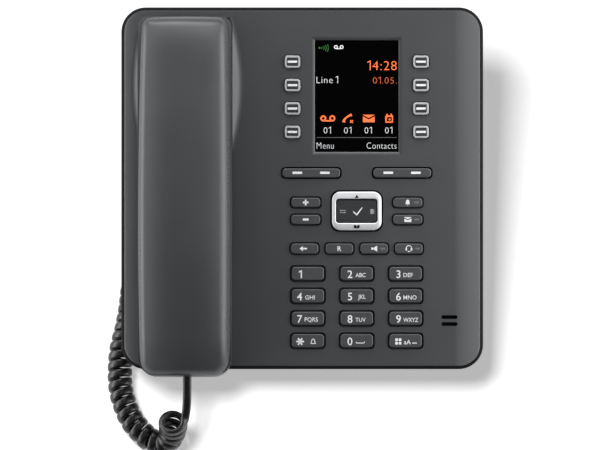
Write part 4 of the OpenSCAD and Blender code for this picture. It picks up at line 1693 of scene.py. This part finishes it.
@dataclass(frozen=True)
class Softbox:
    """A soft area lamp, placed in face metres and aimed at the face's middle."""

    name: str
    place: tuple[float, float, float]
    size: tuple[float, float]
    power: float
    for_floor: bool = False

    def build(self, lit: bpy.types.Collection) -> None:
        """Makes the lamp; lit lists what it lights, or what it leaves out."""
        data = bpy.data.lights.new(self.name, "AREA")
        data.shape = "RECTANGLE"
        data.size, data.size_y = self.size
        data.energy = self.power
        lamp = bpy.data.objects.new(self.name, data)
        bpy.context.scene.collection.objects.link(lamp)
        back = np.array(self.place) / np.linalg.norm(self.place)
        side = np.cross([0.0, 1, 0], back)
        side /= np.linalg.norm(side)
        axes = np.stack([side, np.cross(back, side), back])
        m = np.eye(4)
        m[:3, :3] = (axes @ np.stack([FACE.right, FACE.up, FACE.out])).T
        m[:3, 3] = FACE.at(np.array(self.place) / MM)
        lamp.matrix_world = Matrix(m.tolist())
        lamp.light_linking.receiver_collection = lit


@dataclass
class Studio:
    """The floor, the lights and the camera.

    The camera looks straight down the face's normal from view_distance, at look_at on the face,
    and sees view_width there. One lamp lights only the floor, so that its shadow falls to the
    lower right; the others light only the phone.
    """

    view_width: float = 318.5
    view_distance: float = 1770.0
    look_at: tuple[float, float] = (-0.9, -19.5)
    sensor: float = 36.0
    floor_half: float = 3.0
    room: float = 0.02
    lamps: tuple[Softbox, ...] = (
        Softbox("floor_lamp", (-0.5, 0.62, 1.55), (0.6, 0.6), 26, True),
        Softbox("right_box", (0.42, 0.08, 0.3), (0.35, 0.7), 1.9),
        Softbox("right_strip", (0.6, 0.05, 0.15), (0.3, 0.9), 3.8),
        Softbox("left_box", (-0.42, 0.08, 0.25), (0.3, 0.7), 0.6),
        Softbox("left_strip", (-0.6, 0.0, 0.12), (0.3, 0.9), 4.3),
        Softbox("top_strip", (-0.05, 0.6, 0.25), (0.7, 0.3), 4.5),
        Softbox("front_box", (0.0, 0.2, 1.0), (0.6, 0.6), 0.5),
    )

    def camera(self) -> None:
        """Makes the camera: lens = sensor * distance / width."""
        data = bpy.data.cameras.new("studio_camera")
        data.sensor_width = self.sensor
        data.lens = self.sensor * self.view_distance / self.view_width
        data.clip_end = 20
        camera = bpy.data.objects.new("studio_camera", data)
        bpy.context.scene.collection.objects.link(camera)
        turn = np.eye(4)
        turn[:3, 0], turn[:3, 1], turn[:3, 2] = FACE.right, FACE.up, FACE.out
        turn[:3, 3] = FACE.at([*self.look_at, self.view_distance])
        camera.matrix_world = Matrix(turn.tolist())
        bpy.context.scene.camera = camera

    def build(self) -> None:
        """Floor, lamps and the pale room."""
        size = self.floor_half
        corners = np.array([[-size, -size, 0], [size, -size, 0], [size, size, 0], [-size, size, 0]])
        floor = put("studio_floor", corners, [(0, 1, 2, 3)], Look.FLOOR, None)
        lists = {}
        for for_floor, state in ((True, "INCLUDE"), (False, "EXCLUDE")):
            lists[for_floor] = bpy.data.collections.new("lit_" + state.lower())
            lists[for_floor].objects.link(floor)
            lists[for_floor].collection_objects[0].light_linking.link_state = state
        for lamp in self.lamps:
            lamp.build(lists[lamp.for_floor])
        world = bpy.data.worlds.new("studio_room")
        world.use_nodes = True
        back = world.node_tree.nodes["Background"]
        back.inputs[0].default_value = (1, 1, 1, 1)
        back.inputs[1].default_value = self.room
        bpy.context.scene.world = world
        bpy.context.scene.view_settings.view_transform = "Standard"


def main() -> None:
    """Builds the phone, piece by piece."""
    logging.basicConfig(level=logging.INFO, format="%(message)s")
    studio = Studio()
    studio.camera()
    for part in (CoiledCord(), Casing(), Shoulders(), Handset(), Keypad(), FourWayKey(), Display(), studio):
        part.build()
        LOG.info("built %s", type(part).__name__)


if __name__ == "__main__":
    main()
